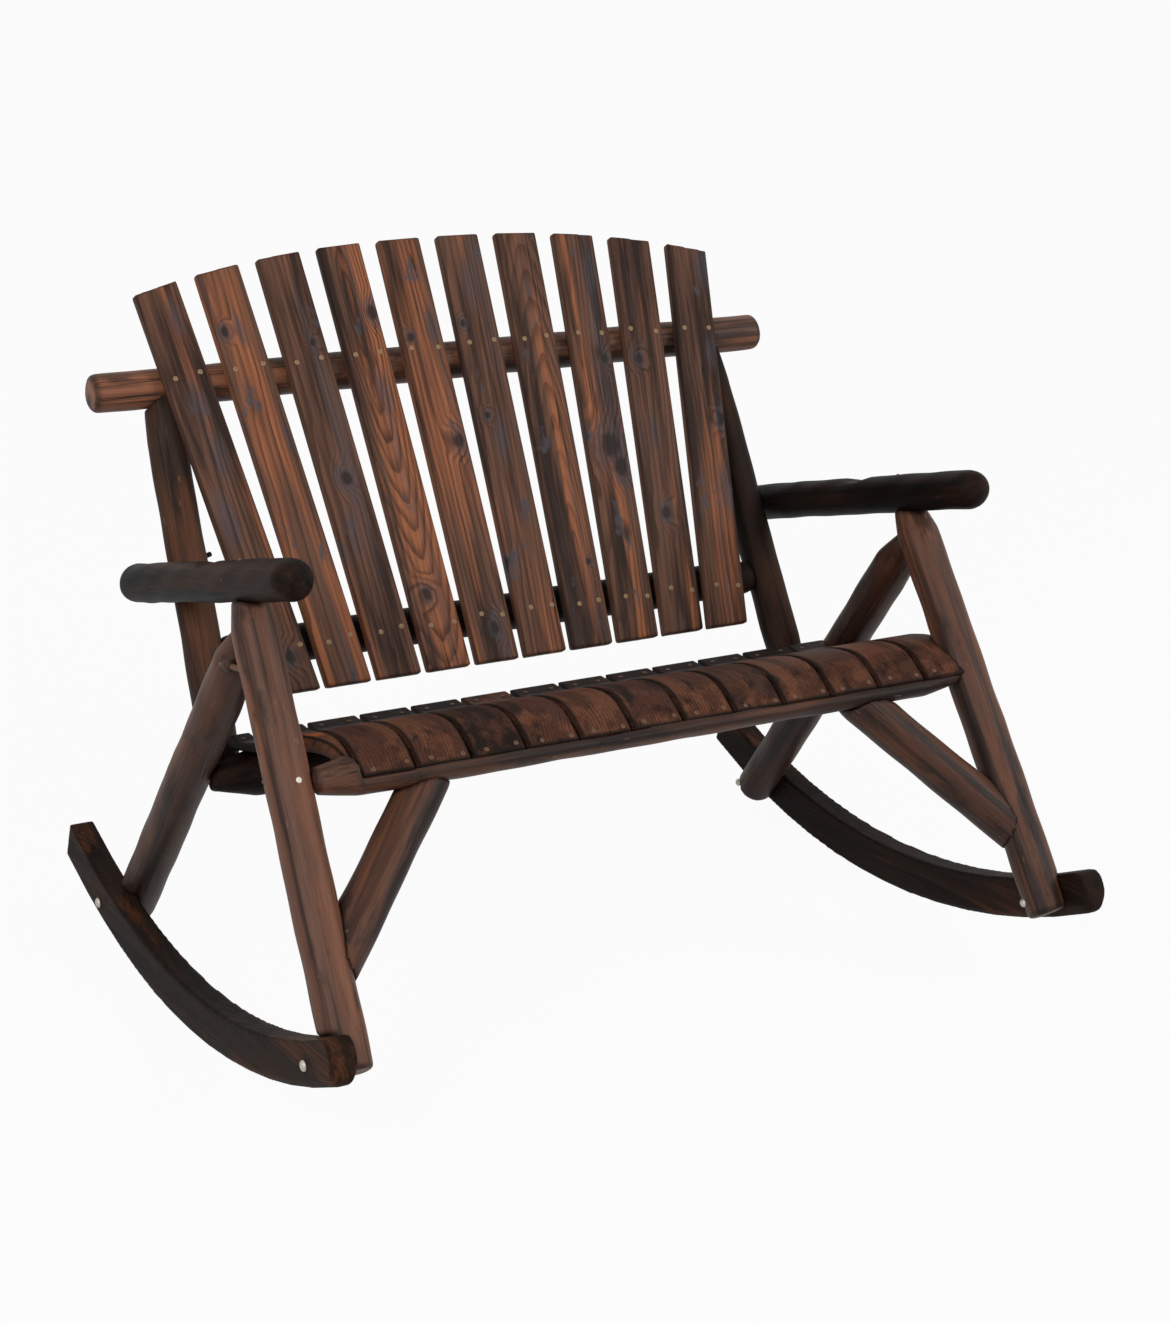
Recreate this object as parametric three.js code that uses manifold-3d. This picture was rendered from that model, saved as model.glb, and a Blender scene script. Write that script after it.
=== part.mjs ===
// A two-seat rocking bench of charred softwood: round logs for the frame, flat slats for the seat
// and the fanned back, and two sawn rockers. Millimetres, +Z up, the sitter faces -Y.
import * as THREE from "three";
import { mergeVertices } from "three/addons/utils/BufferGeometryUtils.js";
import Module from "manifold-3d";

const wasm = await Module();
wasm.setup();

// Driving dimensions. Lengths are millimetres, angles are degrees.

// Gap left between two pieces that touch, and how far a cutting tool runs past what it cuts.
const fitGap = 0.3;
const cutOverrun = 60;

// Logs. The frame has two log sizes: the legs and braces are a little thicker than the rest.
const logRadius = 28.5;
const legRadius = 31;
const rearRailRadius = 34;
const braceRadius = 32;
const logDomeHeight = 6;

// Rockers. The lower edge is an arc, and angles on it run from straight down, to the rear above zero.
const rockerRadius = 1219.6;
const rockerDepth = 61.5;
const rockerThickness = 37.3;
const rockerInnerX = 566.7;
const rockerFrontAngle = 25.15;
const rockerRearAngle = 23.6;
const rockerFacetAngle = 3.3;
const rockerCornerRadius = 20;
const rockerBevelWidth = 9;
const rockerBevelHeight = 14;
const rockerLeastBevel = 1;
const rockerBevelEndAngle = 6;

// Legs stand on the rockers' inner faces. Each foot is lapped over the rocker by the lap depth.
const rockerLap = 15.5;
const frontFootAngle = 21.48;
const rearFootAngle = 15.75;
const frontFootReach = 22;
const rearFootReach = 22;
const frontLegBehindRail = 13.8;
const rearLegBelowArm = 57;
const frontLegTopRadius = 18;
const frontLegTaper = 36;
const frontLegTopBelowArm = 24;
const rearLegTopRadius = 12;
const rearLegTaper = 85;
const footDomeHeight = 5;

// Armrests: the middle of the rear round end, the slope and the length between the round ends.
const armRearY = 311.6;
const armRearZ = 559.2;
const armSlope = 12.7;
const armLength = 583.6;
const armDipFromRear = 306;
const armDipLength = 70;
const armDipDepth = 5.5;

// Back: the bottom line of the slats' front faces, the recline and the fan of slats.
const backFootY = 124.5;
const backFootZ = 418.5;
const backRecline = 26.4;
const backSlatCount = 10;
const backSlatWidth = 70;
const backSlatThickness = 17;
const backBottomPitch = 80.7;
const backTopPitch = 100;
const backHeight = 666.1;
const backCrownDrop = 48.6;
const backCrownPower = 2.3;

// Back rails and posts, measured up the back from its bottom line.
const topRailHeight = 479.7;
const topRailLength = 1128;
const lowerRailHeight = 78.9;
const postFootX = 478.7;
const postTopX = 461.4;
const postBottomReach = 116;
const postLowTaper = 90;
const postLowRadius = 24;
const postHighTaper = 78;
const postHighRadius = 23;

// Seat: slats run front to rear over two rails. The profile's points are shares of depth and rise.
// The gaps are left between the end slats and the front legs; below zero a slat is cut to its leg.
// There are as many full slats as leave the end slats their least width. The left end slat's front
// corner is sawn off over the corner length.
const seatRearY = 99.3;
const seatRearZ = 379.6;
const seatDepth = 374.3;
const seatRise = 74;
const seatSlatThickness = 22;
const seatSlatPitch = 81.6;
const seatSlatGap = 5.5;
const endSlatLeastWidth = 24;
const endSlatCornerLength = 110;
const seatLeftGap = 24;
const seatRightGap = -19;
const seatDepthShares = [0, 0.332, 0.606, 0.775, 0.893, 1];
const seatRiseShares = [0, 0.41, 0.84, 1, 0.916, 0.54];

// Seat rails: the front axis is placed from the slats' front edge. The ends are tapered and domed.
const frontRailInset = 16.8;
const frontRailDrop = 1.9;
const rearRailSaddle = 0.8;
const railEndTaper = 62;
const railEndRadius = 19;
const frontRailEndBite = 4;
const rearRailEndBite = 12;
const lowerRailEndTaper = 30;
const lowerRailEndRadius = 24;
const lowerRailEndBite = 1;

// Knee braces, from the front legs up to the front seat rail.
const braceFootHeight = 194.5;
const braceFootBehindLeg = 6;
const braceHeadX = 323;
const braceHeadBehindRail = 17.5;
const braceHeadTaper = 34;
const braceHeadRadius = 27;

// Bolts.
const boltShaftRadius = 4;
const boltHeadRadius = 7.5;
const boltHeadHeight = 5;
const boltNutHeight = 7;
const boltTail = 2;
const boltBite = 1.5;
const nutBite = 5;
const frontRockerBoltAngle = 20.9;
const rearRockerBoltAngle = 16.6;
const rearRockerBoltDrop = 10;
const frontRailLagDepth = 50;
const frontRailLagUnder = 15.8;
const frontRailLagForward = 12;
const frontRailLagBack = 5.5;
const rearRailLagDepth = 36;
const rearRailLagForward = 8;
const rearRailLagBehindLeg = 10;
const postBoltInset = 10;
const postBoltDepth = 70;
const armBoltBack = 25;
const armBoltRise = 21;
const armBoltCover = 10;
const armLagReach = 74;
const rearLegLagAlong = 66;
const rearLegLagForward = 19;
const rearLegLagDepth = 12;
const topRailLagBelow = 62;
const topRailLagDepth = 8;
const lagSink = 6;

// How far the bench leans back about the rockers' axis to hang level at rest.
const restLean = 4.2;

// Resolution. The shares place the rocker's stations along its round corners.
const logSides = 32;
const boltSides = 10;
const dipSides = 48;
const quarterSteps = 4;
const seatSteps = 14;
const cornerShares = [0, 0.15, 0.5, 1];
const searchShare = 1e-9;

const charred = { color: 0x5a3220, roughness: 0.55, metalness: 0 };
const darkLog = { color: 0x2a1712, roughness: 0.45, metalness: 0 };
const brownLog = { color: 0x4a2a1c, roughness: 0.5, metalness: 0 };
const steel = { color: 0xb9b3a6, roughness: 0.35, metalness: 0.8 };

const X = new THREE.Vector3(1, 0, 0);
const Y = new THREE.Vector3(0, 1, 0);
const Z = new THREE.Vector3(0, 0, 1);
const radians = THREE.MathUtils.degToRad;
const point = (x, y, z) => new THREE.Vector3(x, y, z);
const mirror = (p, side) => point(p.x * side, p.y, p.z);

// A closed three.js geometry as a solid that can be cut.
function solidOf(geometry) {
  const plain = geometry.clone();
  plain.deleteAttribute("normal");
  plain.deleteAttribute("uv");
  const merged = mergeVertices(plain);
  const mesh = new wasm.Mesh({
    numProp: 3,
    vertProperties: merged.attributes.position.array,
    triVerts: new Uint32Array(merged.index.array),
  });
  return new wasm.Manifold(mesh);
}

function geometryOf(solid) {
  const mesh = solid.getMesh();
  const geometry = new THREE.BufferGeometry();
  geometry.setAttribute("position", new THREE.BufferAttribute(mesh.vertProperties, mesh.numProp));
  geometry.setIndex(new THREE.BufferAttribute(mesh.triVerts, 1));
  const flat = geometry.toNonIndexed();
  flat.computeVertexNormals();
  return flat;
}

// The largest closed body of a solid, without the slivers that a cut leaves.
function largest(solid) {
  return solid.decompose().reduce((best, body) => (body.volume() > best.volume() ? body : best));
}

// A profile of radius and distance, turned about the line from one point to another.
function turned(profile, from, to, sides) {
  const geometry = new THREE.LatheGeometry(
    profile.map(([radius, along]) => new THREE.Vector2(radius, along)),
    sides,
  );
  const direction = to.clone().sub(from).normalize();
  geometry.applyQuaternion(new THREE.Quaternion().setFromUnitVectors(Y, direction));
  return solidOf(geometry.translate(from.x, from.y, from.z));
}

// A flat outline of horizontal and vertical points in the YZ plane, spread along X.
function extrudedAlongX(outline, fromX, toX) {
  const shape = new THREE.Shape(outline.map(([y, z]) => new THREE.Vector2(y, z)));
  const geometry = new THREE.ExtrudeGeometry(shape, { depth: toX - fromX, bevelEnabled: false });
  geometry.applyMatrix4(new THREE.Matrix4().makeBasis(Y, Z, X));
  return solidOf(geometry.translate(fromX, 0, 0));
}

// A log between two points. Each end has its own radius, taper length and dome height.
function log({ from, to, radius, start = {}, end = {} }, grow = 0) {
  const length = from.distanceTo(to);
  const profile = [[0, -grow]];
  addLogEnd(profile, radius, start, grow, (along) => along - grow);
  const tail = [];
  addLogEnd(tail, radius, end, grow, (along) => length + grow - along);
  profile.push(...tail.reverse(), [0, length + grow]);
  return turned(profile, from, to, logSides);
}

// The points of one end of a log's profile, from the tip inwards.
function addLogEnd(profile, radius, { taper = 0, tip = radius, dome = 0 }, grow, place) {
  const domeWidth = Math.min(dome, tip);
  if (dome > 0) {
    profile.push([tip - domeWidth + grow, place(0)]);
    profile.push([tip - domeWidth * (1 - Math.SQRT1_2) + grow, place(dome * (1 - Math.SQRT1_2))]);
  }
  profile.push([tip + grow, place(dome)]);
  if (taper > 0) profile.push([radius + grow, place(taper)]);
}

// A log with round ends, such as an armrest. The points are the middles of its end spheres.
function roundLog({ from, to, radius }, grow = 0) {
  const length = from.distanceTo(to);
  const outer = radius + grow;
  const start = [[0, -outer]];
  const end = [[0, length + outer]];
  for (let step = 1; step <= quarterSteps; step++) {
    const a = ((step / quarterSteps) * Math.PI) / 2;
    start.push([outer * Math.sin(a), -outer * Math.cos(a)]);
    end.unshift([outer * Math.sin(a), length + outer * Math.cos(a)]);
  }
  return turned([...start, ...end], from, to, logSides);
}

// The point of a log's axis at a distance from its start, or at a height.
const alongLog = (l, distance) => l.from.clone().lerp(l.to, distance / l.from.distanceTo(l.to));
const atHeight = (l, z) => l.from.clone().lerp(l.to, (z - l.from.z) / (l.to.z - l.from.z));

// A point on the rocker arc at an angle and a radius, for one x.
function onArc(x, radius, angle) {
  const a = radians(angle);
  return point(x, radius * Math.sin(a), rockerRadius - radius * Math.cos(a));
}

// Back frame: across, behind the slats' front faces, and up the back.
function onBack(across, behind, up) {
  const a = radians(backRecline);
  return point(
    across,
    backFootY + up * Math.sin(a) + behind * Math.cos(a),
    backFootZ + up * Math.cos(a) - behind * Math.sin(a),
  );
}

// Station angles of a rocker: facets of one size, one of them level at rest, and close corner stations.
function rockerAngles() {
  const angles = [-rockerFrontAngle];
  const corner = THREE.MathUtils.radToDeg(rockerCornerRadius / rockerRadius);
  for (const share of cornerShares.slice(1)) angles.push(-rockerFrontAngle + share * corner);
  const edge = restLean + rockerFacetAngle / 2;
  const first = Math.ceil((angles.at(-1) - edge) / rockerFacetAngle + 1 / 2);
  const last = Math.floor((rockerRearAngle - edge) / rockerFacetAngle - 1 / 2);
  for (let i = first; i <= last; i++) angles.push(edge + i * rockerFacetAngle);
  angles.push(rockerRearAngle);
  return angles;
}

// A solid with flat ends through sections of the same number of points, from the front to the rear.
function lofted(sections) {
  const count = sections[0].length;
  const positions = sections.flat().flatMap((p) => [p.x, p.y, p.z]);
  const index = [];
  for (let s = 0; s + 1 < sections.length; s++) {
    for (let i = 0; i < count; i++) {
      const a = s * count + i;
      const b = s * count + ((i + 1) % count);
      index.push(a, b, b + count, a, b + count, a + count);
    }
  }
  const last = (sections.length - 1) * count;
  for (let i = 1; i + 1 < count; i++) {
    index.push(0, i + 1, i);
    index.push(last, last + i, last + i + 1);
  }
  const geometry = new THREE.BufferGeometry();
  geometry.setAttribute("position", new THREE.Float32BufferAttribute(positions, 3));
  geometry.setIndex(index);
  return solidOf(geometry);
}

// How far a round corner draws in at a distance from the end of a piece.
function cornerInset(distance, radius) {
  const left = Math.max(radius - distance, 0);
  return radius - Math.sqrt(radius * radius - left * left);
}

// A rocker: a sawn arc whose lower edges are bevelled more and more towards its round front end.
function rocker(side) {
  const xs = [side * rockerInnerX, side * rockerOuterX].sort((a, b) => a - b);
  const sections = rockerAngles().map((angle) => {
    const travelled = radians(angle + rockerFrontAngle) * rockerRadius;
    const inset = cornerInset(travelled, rockerCornerRadius);
    const bevelSpan = rockerBevelEndAngle + rockerFrontAngle;
    const share = THREE.MathUtils.clamp((rockerBevelEndAngle - angle) / bevelSpan, 0, 1);
    const across = THREE.MathUtils.lerp(rockerLeastBevel, rockerBevelWidth, share);
    const up = THREE.MathUtils.lerp(rockerLeastBevel, rockerBevelHeight, share);
    const top = rockerRadius - rockerDepth + inset;
    const bottom = rockerRadius - inset;
    return [
      onArc(xs[0], top, angle),
      onArc(xs[1], top, angle),
      onArc(xs[1], bottom - up, angle),
      onArc(xs[1] - across, bottom, angle),
      onArc(xs[0] + across, bottom, angle),
      onArc(xs[0], bottom - up, angle),
    ];
  });
  return lofted(sections);
}

// What a foot loses where it is lapped over its rocker and rests on the rocker's upper edge.
function rockerNotch(side) {
  const ends = [side * (rockerInnerX - fitGap), side * (rockerOuterX + cutOverrun)];
  const xs = ends.sort((a, b) => a - b);
  const top = rockerRadius - rockerDepth - fitGap;
  const bottom = rockerRadius + cutOverrun;
  const sections = rockerAngles().map((angle) => [
    onArc(xs[0], top, angle),
    onArc(xs[1], top, angle),
    onArc(xs[1], bottom, angle),
    onArc(xs[0], bottom, angle),
  ]);
  return lofted(sections);
}

// Places that the pieces share, worked out from the driving dimensions.
const rockerOuterX = rockerInnerX + rockerThickness;
const rockerMiddle = rockerRadius - rockerDepth / 2;
const footX = rockerInnerX - legRadius + rockerLap;
const frontRailY = seatRearY - seatDepth + frontRailInset;
const frontRailZ = seatRearZ + seatRiseShares.at(-1) * seatRise - frontRailDrop;
const postDepth = backSlatThickness + fitGap + logRadius;
const postX = (up) => THREE.MathUtils.lerp(postFootX, postTopX, up / topRailHeight);

// The point of a line through two points where it crosses another such line in the side view.
function crossingOf(a, b, c, d) {
  const turn = (p, q) => p.y * q.z - p.z * q.y;
  const along = b.clone().sub(a);
  const other = d.clone().sub(c);
  return a.clone().addScaledVector(along, turn(c.clone().sub(a), other) / turn(along, other));
}

// The middle of an armrest's front round end.
function armFront(x) {
  const slope = radians(armSlope);
  return point(x, armRearY - armLength * Math.cos(slope), armRearZ + armLength * Math.sin(slope));
}

// The armrest's axis crosses the post's in the side view, and the two logs touch there.
function armCrossing() {
  const low = onBack(0, postDepth, 0);
  const high = onBack(0, postDepth, topRailHeight);
  const { y, z } = crossingOf(low, high, armFront(0), point(0, armRearY, armRearZ));
  return { y, z, up: low.distanceTo(point(0, y, z)) };
}

const crossing = armCrossing();
const armX = postX(crossing.up) + 2 * logRadius + fitGap;

const seatProfile = new THREE.SplineCurve(
  seatDepthShares.map((share, i) => {
    const y = seatRearY - share * seatDepth;
    return new THREE.Vector2(y, seatRearZ + seatRiseShares[i] * seatRise);
  }),
);

// A point under the seat's upper surface, at a share of the way to the front and a depth below it.
function underSeat(share, depth) {
  const tangent = seatProfile.getTangent(share);
  const top = seatProfile.getPoint(share);
  return top.add(new THREE.Vector2(-tangent.y, tangent.x).multiplyScalar(depth));
}

// The rear rail touches both the underside of the slats and the front of the posts.
function rearRailAxis() {
  const depth = seatSlatThickness + fitGap + rearRailRadius - rearRailSaddle;
  const wanted = postDepth - postLowRadius - fitGap - rearRailRadius;
  let low = 0;
  let high = 1;
  while (high - low > searchShare) {
    const share = (low + high) / 2;
    const p = underSeat(share, depth);
    const a = radians(backRecline);
    const behind = (p.x - backFootY) * Math.cos(a) - (p.y - backFootZ) * Math.sin(a);
    if (behind > wanted) low = share;
    else high = share;
  }
  return underSeat(low, depth);
}

// The axes of the logs on one side.
function sideLogs(side) {
  const arm = { from: armFront(armX), to: point(armX, armRearY, armRearZ), radius: logRadius };
  const foot = onArc(footX, rockerMiddle, -frontFootAngle);
  const besideRail = point(0, frontRailY + frontLegBehindRail, frontRailZ);
  const frontLeg = {
    from: crossingOf(arm.from, arm.to, foot, besideRail),
    to: foot,
    radius: legRadius,
    start: { taper: logRadius + frontLegTaper, tip: frontLegTopRadius },
    end: { dome: footDomeHeight },
  };
  const rearLeg = {
    from: alongLog(frontLeg, rearLegBelowArm),
    to: onArc(footX, rockerMiddle, rearFootAngle),
    radius: legRadius,
    start: { taper: rearLegTaper, tip: rearLegTopRadius },
    end: { dome: footDomeHeight },
  };
  frontLeg.to = alongLog(frontLeg, frontLeg.from.distanceTo(frontLeg.to) + frontFootReach);
  rearLeg.to = alongLog(rearLeg, rearLeg.from.distanceTo(rearLeg.to) + rearFootReach);
  const post = {
    from: onBack(postX(-postBottomReach), postDepth, -postBottomReach),
    to: onBack(postX(topRailHeight), postDepth, topRailHeight),
    radius: logRadius,
    start: { taper: postLowTaper, tip: postLowRadius, dome: logDomeHeight },
    end: { taper: postHighTaper, tip: postHighRadius },
  };
  const brace = {
    from: atHeight(frontLeg, braceFootHeight).add(point(0, braceFootBehindLeg, 0)),
    to: point(braceHeadX, frontRailY + braceHeadBehindRail, frontRailZ),
    radius: braceRadius,
    end: { taper: braceHeadTaper, tip: braceHeadRadius },
  };
  const logs = { arm, frontLeg, rearLeg, post, brace };
  for (const l of Object.values(logs)) {
    l.from = mirror(l.from, side);
    l.to = mirror(l.to, side);
  }
  return logs;
}

// Where a line through a point leaves a log on its way in a direction.
function exitOf(l, through, direction) {
  const axis = l.to.clone().sub(l.from).normalize();
  const across = through.clone().sub(l.from).projectOnPlane(axis);
  const travel = direction.clone().projectOnPlane(axis);
  const half = across.dot(travel);
  const outside = across.lengthSq() - l.radius * l.radius;
  const root = Math.sqrt(half * half - travel.lengthSq() * outside);
  return through.clone().addScaledVector(direction, (root - half) / travel.lengthSq());
}

function nearestOn(l, p) {
  return new THREE.Line3(l.from, l.to).closestPointToPoint(p, false, new THREE.Vector3());
}

// A rail along X, with tapered domed ends.
function crossRail(y, z, radius, halfLength, end) {
  const from = point(-halfLength, y, z);
  return { from, to: mirror(from, -1), radius, start: end, end };
}

const rearRail = rearRailAxis();
const sides = { left: -1, right: 1 };
const frames = { left: sideLogs(sides.left), right: sideLogs(sides.right) };
const legInnerX = atHeight(frames.right.frontLeg, frontRailZ).x - legRadius;
const rearLegInnerX = atHeight(frames.right.rearLeg, rearRail.y).x - legRadius;
const seatLeftX = seatLeftGap - legInnerX;
const seatRightX = legInnerX - seatRightGap;
const fullSlatsRoom = 2 * (-seatLeftX - endSlatLeastWidth) - seatSlatGap;
const seatSlatCount = Math.floor(fullSlatsRoom / seatSlatPitch);
const fullSlatsHalfWidth = (seatSlatCount * seatSlatPitch) / 2;
const endSlatInnerX = fullSlatsHalfWidth + seatSlatGap / 2;

const railEnd = { taper: railEndTaper, tip: railEndRadius, dome: logDomeHeight };
const lowerRailEnd = { taper: lowerRailEndTaper, tip: lowerRailEndRadius, dome: logDomeHeight };
const frontRailHalf = legInnerX + frontRailEndBite;
const frontRailLog = crossRail(frontRailY, frontRailZ, logRadius, frontRailHalf, railEnd);
const rearRailHalf = rearLegInnerX + rearRailEndBite;
const rearRailLog = crossRail(rearRail.x, rearRail.y, rearRailRadius, rearRailHalf, railEnd);
const topRailPlace = onBack(0, postDepth, topRailHeight);
const topRailHalf = topRailLength / 2;
const topRailEnd = { dome: logDomeHeight };
const topRailLog = crossRail(topRailPlace.y, topRailPlace.z, logRadius, topRailHalf, topRailEnd);
const lowerRailPlace = onBack(0, postDepth, lowerRailHeight);
const lowerRailHalf = postX(lowerRailHeight) - logRadius + lowerRailEndBite;
const lowerRailLog = crossRail(
  lowerRailPlace.y,
  lowerRailPlace.z,
  logRadius,
  lowerRailHalf,
  lowerRailEnd,
);

// Everything above the underside of the seat slats, and above the line that carries on from their
// upper surface past their front ends. The rails are planed down to it.
function seatCutter() {
  const depth = seatSlatThickness + fitGap;
  const outline = [];
  for (let i = 0; i <= seatSteps; i++) outline.push(underSeat(i / seatSteps, depth));
  const rearward = seatProfile.getTangent(0).multiplyScalar(-cutOverrun);
  outline.unshift(outline[0].clone().add(rearward));
  const forward = seatProfile.getTangent(1);
  const clear = forward.clone().multiplyScalar(fitGap);
  const far = forward.clone().multiplyScalar(cutOverrun);
  outline.push(underSeat(1, depth).add(clear));
  outline.push(underSeat(1, 0).add(clear));
  outline.push(underSeat(1, 0).add(far));
  const top = seatRearZ + seatRise + cutOverrun;
  outline.push(new THREE.Vector2(outline.at(-1).x, top), new THREE.Vector2(outline[0].x, top));
  return extrudedAlongX(
    outline.map((p) => [p.x, p.y]),
    seatLeftX - fitGap,
    seatRightX + fitGap,
  );
}

// The front corner that the left end slat loses, and more, with a clearance from the cut.
function endSlatCorner(clearance = 0) {
  const front = seatRearY - seatDepth;
  const rearPoint = new THREE.Vector2(seatLeftX, front + endSlatCornerLength);
  const frontPoint = new THREE.Vector2(-endSlatInnerX, front);
  const along = frontPoint.clone().sub(rearPoint).setLength(cutOverrun);
  const outward = new THREE.Vector2(along.y, -along.x);
  const clear = outward.clone().setLength(clearance);
  const start = rearPoint.sub(along).add(clear);
  const end = frontPoint.add(along).add(clear);
  const shape = new THREE.Shape([start, start.clone().add(outward), end.clone().add(outward), end]);
  const depth = seatRearZ + seatRise + cutOverrun;
  return solidOf(new THREE.ExtrudeGeometry(shape, { depth, bevelEnabled: false }));
}

// A bolt from the seat of its head to the face of its nut, or to its tip where it has no nut.
// The bore is the room that it takes, with the clearance round it and the way in for its head.
function bolt(seat, exit, nut = false) {
  const grip = seat.distanceTo(exit);
  const head = -fitGap - boltHeadHeight;
  const profile = [
    [0, head],
    [boltHeadRadius * Math.SQRT1_2, head],
    [boltHeadRadius, head + boltHeadHeight / 2],
    [boltHeadRadius, -fitGap],
    [boltShaftRadius, -fitGap],
  ];
  const room = [
    [0, -boltHeadRadius * 2],
    [boltHeadRadius + fitGap, -boltHeadRadius * 2],
    [boltHeadRadius + fitGap, 0],
    [boltShaftRadius + fitGap, 0],
  ];
  if (nut) {
    const nutStart = grip + fitGap;
    const nutEnd = nutStart + boltNutHeight;
    profile.push([boltShaftRadius, nutStart], [boltHeadRadius, nutStart]);
    profile.push([boltHeadRadius, nutEnd], [boltShaftRadius, nutEnd]);
    profile.push([boltShaftRadius, nutEnd + boltTail], [0, nutEnd + boltTail]);
    room.push([boltShaftRadius + fitGap, grip], [boltHeadRadius + fitGap, grip]);
    room.push([boltHeadRadius + fitGap, nutEnd + boltTail], [0, nutEnd + boltTail]);
  } else {
    profile.push([boltShaftRadius, grip], [0, grip]);
    room.push([boltShaftRadius + fitGap, grip + fitGap], [0, grip + fitGap]);
  }
  const solid = turned(profile, seat, exit, boltSides);
  return { solid, bore: turned(room, seat, exit, boltSides) };
}

// A lag bolt driven at a slant, its head sunk below the surface at the seat.
function slantedBolt(surface, tip) {
  return bolt(alongLog({ from: surface, to: tip }, lagSink), tip);
}

// A slanted lag bolt that comes in through a log, passes a point and ends at its tip.
function lagThrough(l, through, tip) {
  return slantedBolt(exitOf(l, through, through.clone().sub(tip)), tip);
}

// All solid pieces by name, so that a bolt can be let into those that it joins.
const pieces = new Map();

function keep(name, solid, look) {
  pieces.set(name, { solid, look });
}

function fasten(name, { solid, bore }, joined) {
  for (const other of joined) {
    const piece = pieces.get(other);
    piece.solid = largest(piece.solid.subtract(bore));
  }
  keep(name, solid, steel);
}

// The shallow dip planed across the top of an armrest.
function armDip(arm) {
  const half = armDipLength / 2;
  const radius = (half * half + armDipDepth * armDipDepth) / (2 * armDipDepth);
  const middle = alongLog(arm, armLength - armDipFromRear);
  const up = arm.to.clone().sub(arm.from).cross(X).normalize();
  if (up.z < 0) up.negate();
  middle.addScaledVector(up, logRadius - armDipDepth + radius);
  const from = middle.clone().addScaledVector(X, -cutOverrun);
  const to = middle.clone().addScaledVector(X, cutOverrun);
  const length = from.distanceTo(to);
  return turned([[0, 0], [radius, 0], [radius, length], [0, length]], from, to, dipSides);
}

// Everything above the level, square to the side view, at which a front leg's top is cut.
function aboveLegTop(arm, leg) {
  const block = new THREE.BoxGeometry(armLength, armLength, armLength);
  block.translate(0, 0, armLength / 2 - frontLegTopBelowArm);
  const rearward = arm.to.clone().sub(arm.from).normalize();
  block.applyQuaternion(new THREE.Quaternion().setFromUnitVectors(Y, rearward));
  return solidOf(block.translate(leg.from.x, leg.from.y, leg.from.z));
}

// The log frame of one side: rocker, legs, armrest, back post and knee brace.
function addSideFrame(name, side) {
  const { arm, frontLeg, rearLeg, post, brace } = frames[name];
  const notch = rockerNotch(side);
  keep(`rocker_${name}`, rocker(side), charred);
  keep(`armrest_${name}`, roundLog(arm).subtract(armDip(arm)), darkLog);
  const front = log(frontLeg).subtract(roundLog(arm, fitGap)).subtract(aboveLegTop(arm, frontLeg));
  keep(`front_leg_${name}`, largest(front.subtract(notch)), brownLog);
  const rear = log(rearLeg).subtract(log(frontLeg, fitGap)).subtract(notch);
  keep(`rear_leg_${name}`, largest(rear), brownLog);
  const upright = log(post).subtract(log(topRailLog, fitGap)).subtract(log(rearRailLog, fitGap));
  keep(`back_post_${name}`, largest(upright), darkLog);
  const knee = log(brace).subtract(log(frontLeg, fitGap)).subtract(log(frontRailLog, fitGap));
  keep(`knee_brace_${name}`, largest(knee.subtract(seatCutter())), brownLog);
}

// The rails that cross the bench, planed for the slats and shaped to the legs and posts they butt.
function addRails() {
  const { left, right } = frames;
  const front = log(frontRailLog)
    .subtract(seatCutter().subtract(endSlatCorner(fitGap)))
    .subtract(log(left.frontLeg, fitGap))
    .subtract(log(right.frontLeg, fitGap));
  keep("seat_front_rail", largest(front), brownLog);
  const rear = log(rearRailLog)
    .subtract(seatCutter())
    .subtract(log(left.rearLeg, fitGap))
    .subtract(log(right.rearLeg, fitGap));
  keep("seat_rear_rail", largest(rear), darkLog);
  keep("top_rail", log(topRailLog), brownLog);
  const lower = log(lowerRailLog)
    .subtract(log(left.post, fitGap))
    .subtract(log(right.post, fitGap));
  keep("lower_back_rail", largest(lower), darkLog);
}

// Bolts through the rockers and the feet, with the nuts on the feet's inner faces.
function addRockerBolts(name, side) {
  const { frontLeg, rearLeg } = frames[name];
  const places = {
    front: [frontLeg, onArc(side * rockerOuterX, rockerMiddle, -frontRockerBoltAngle)],
    rear: [rearLeg, onArc(side * rockerOuterX, rockerMiddle + rearRockerBoltDrop, rearRockerBoltAngle)],
  };
  for (const [end, [leg, seat]] of Object.entries(places)) {
    const exit = exitOf(leg, seat, X.clone().multiplyScalar(-side));
    exit.x += side * nutBite;
    const made = bolt(seat, exit, true);
    fasten(`rocker_bolt_${end}_${name}`, made, [`rocker_${name}`, `${end}_leg_${name}`]);
  }
}

// A point in the front rail: forward of its axis along the seat's front edge, and under the seat.
function inFrontRail(x, forward, under) {
  const tangent = seatProfile.getTangent(1);
  return point(
    x,
    frontRailY + tangent.x * forward - tangent.y * under,
    frontRailZ + tangent.y * forward + tangent.x * under,
  );
}

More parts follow.
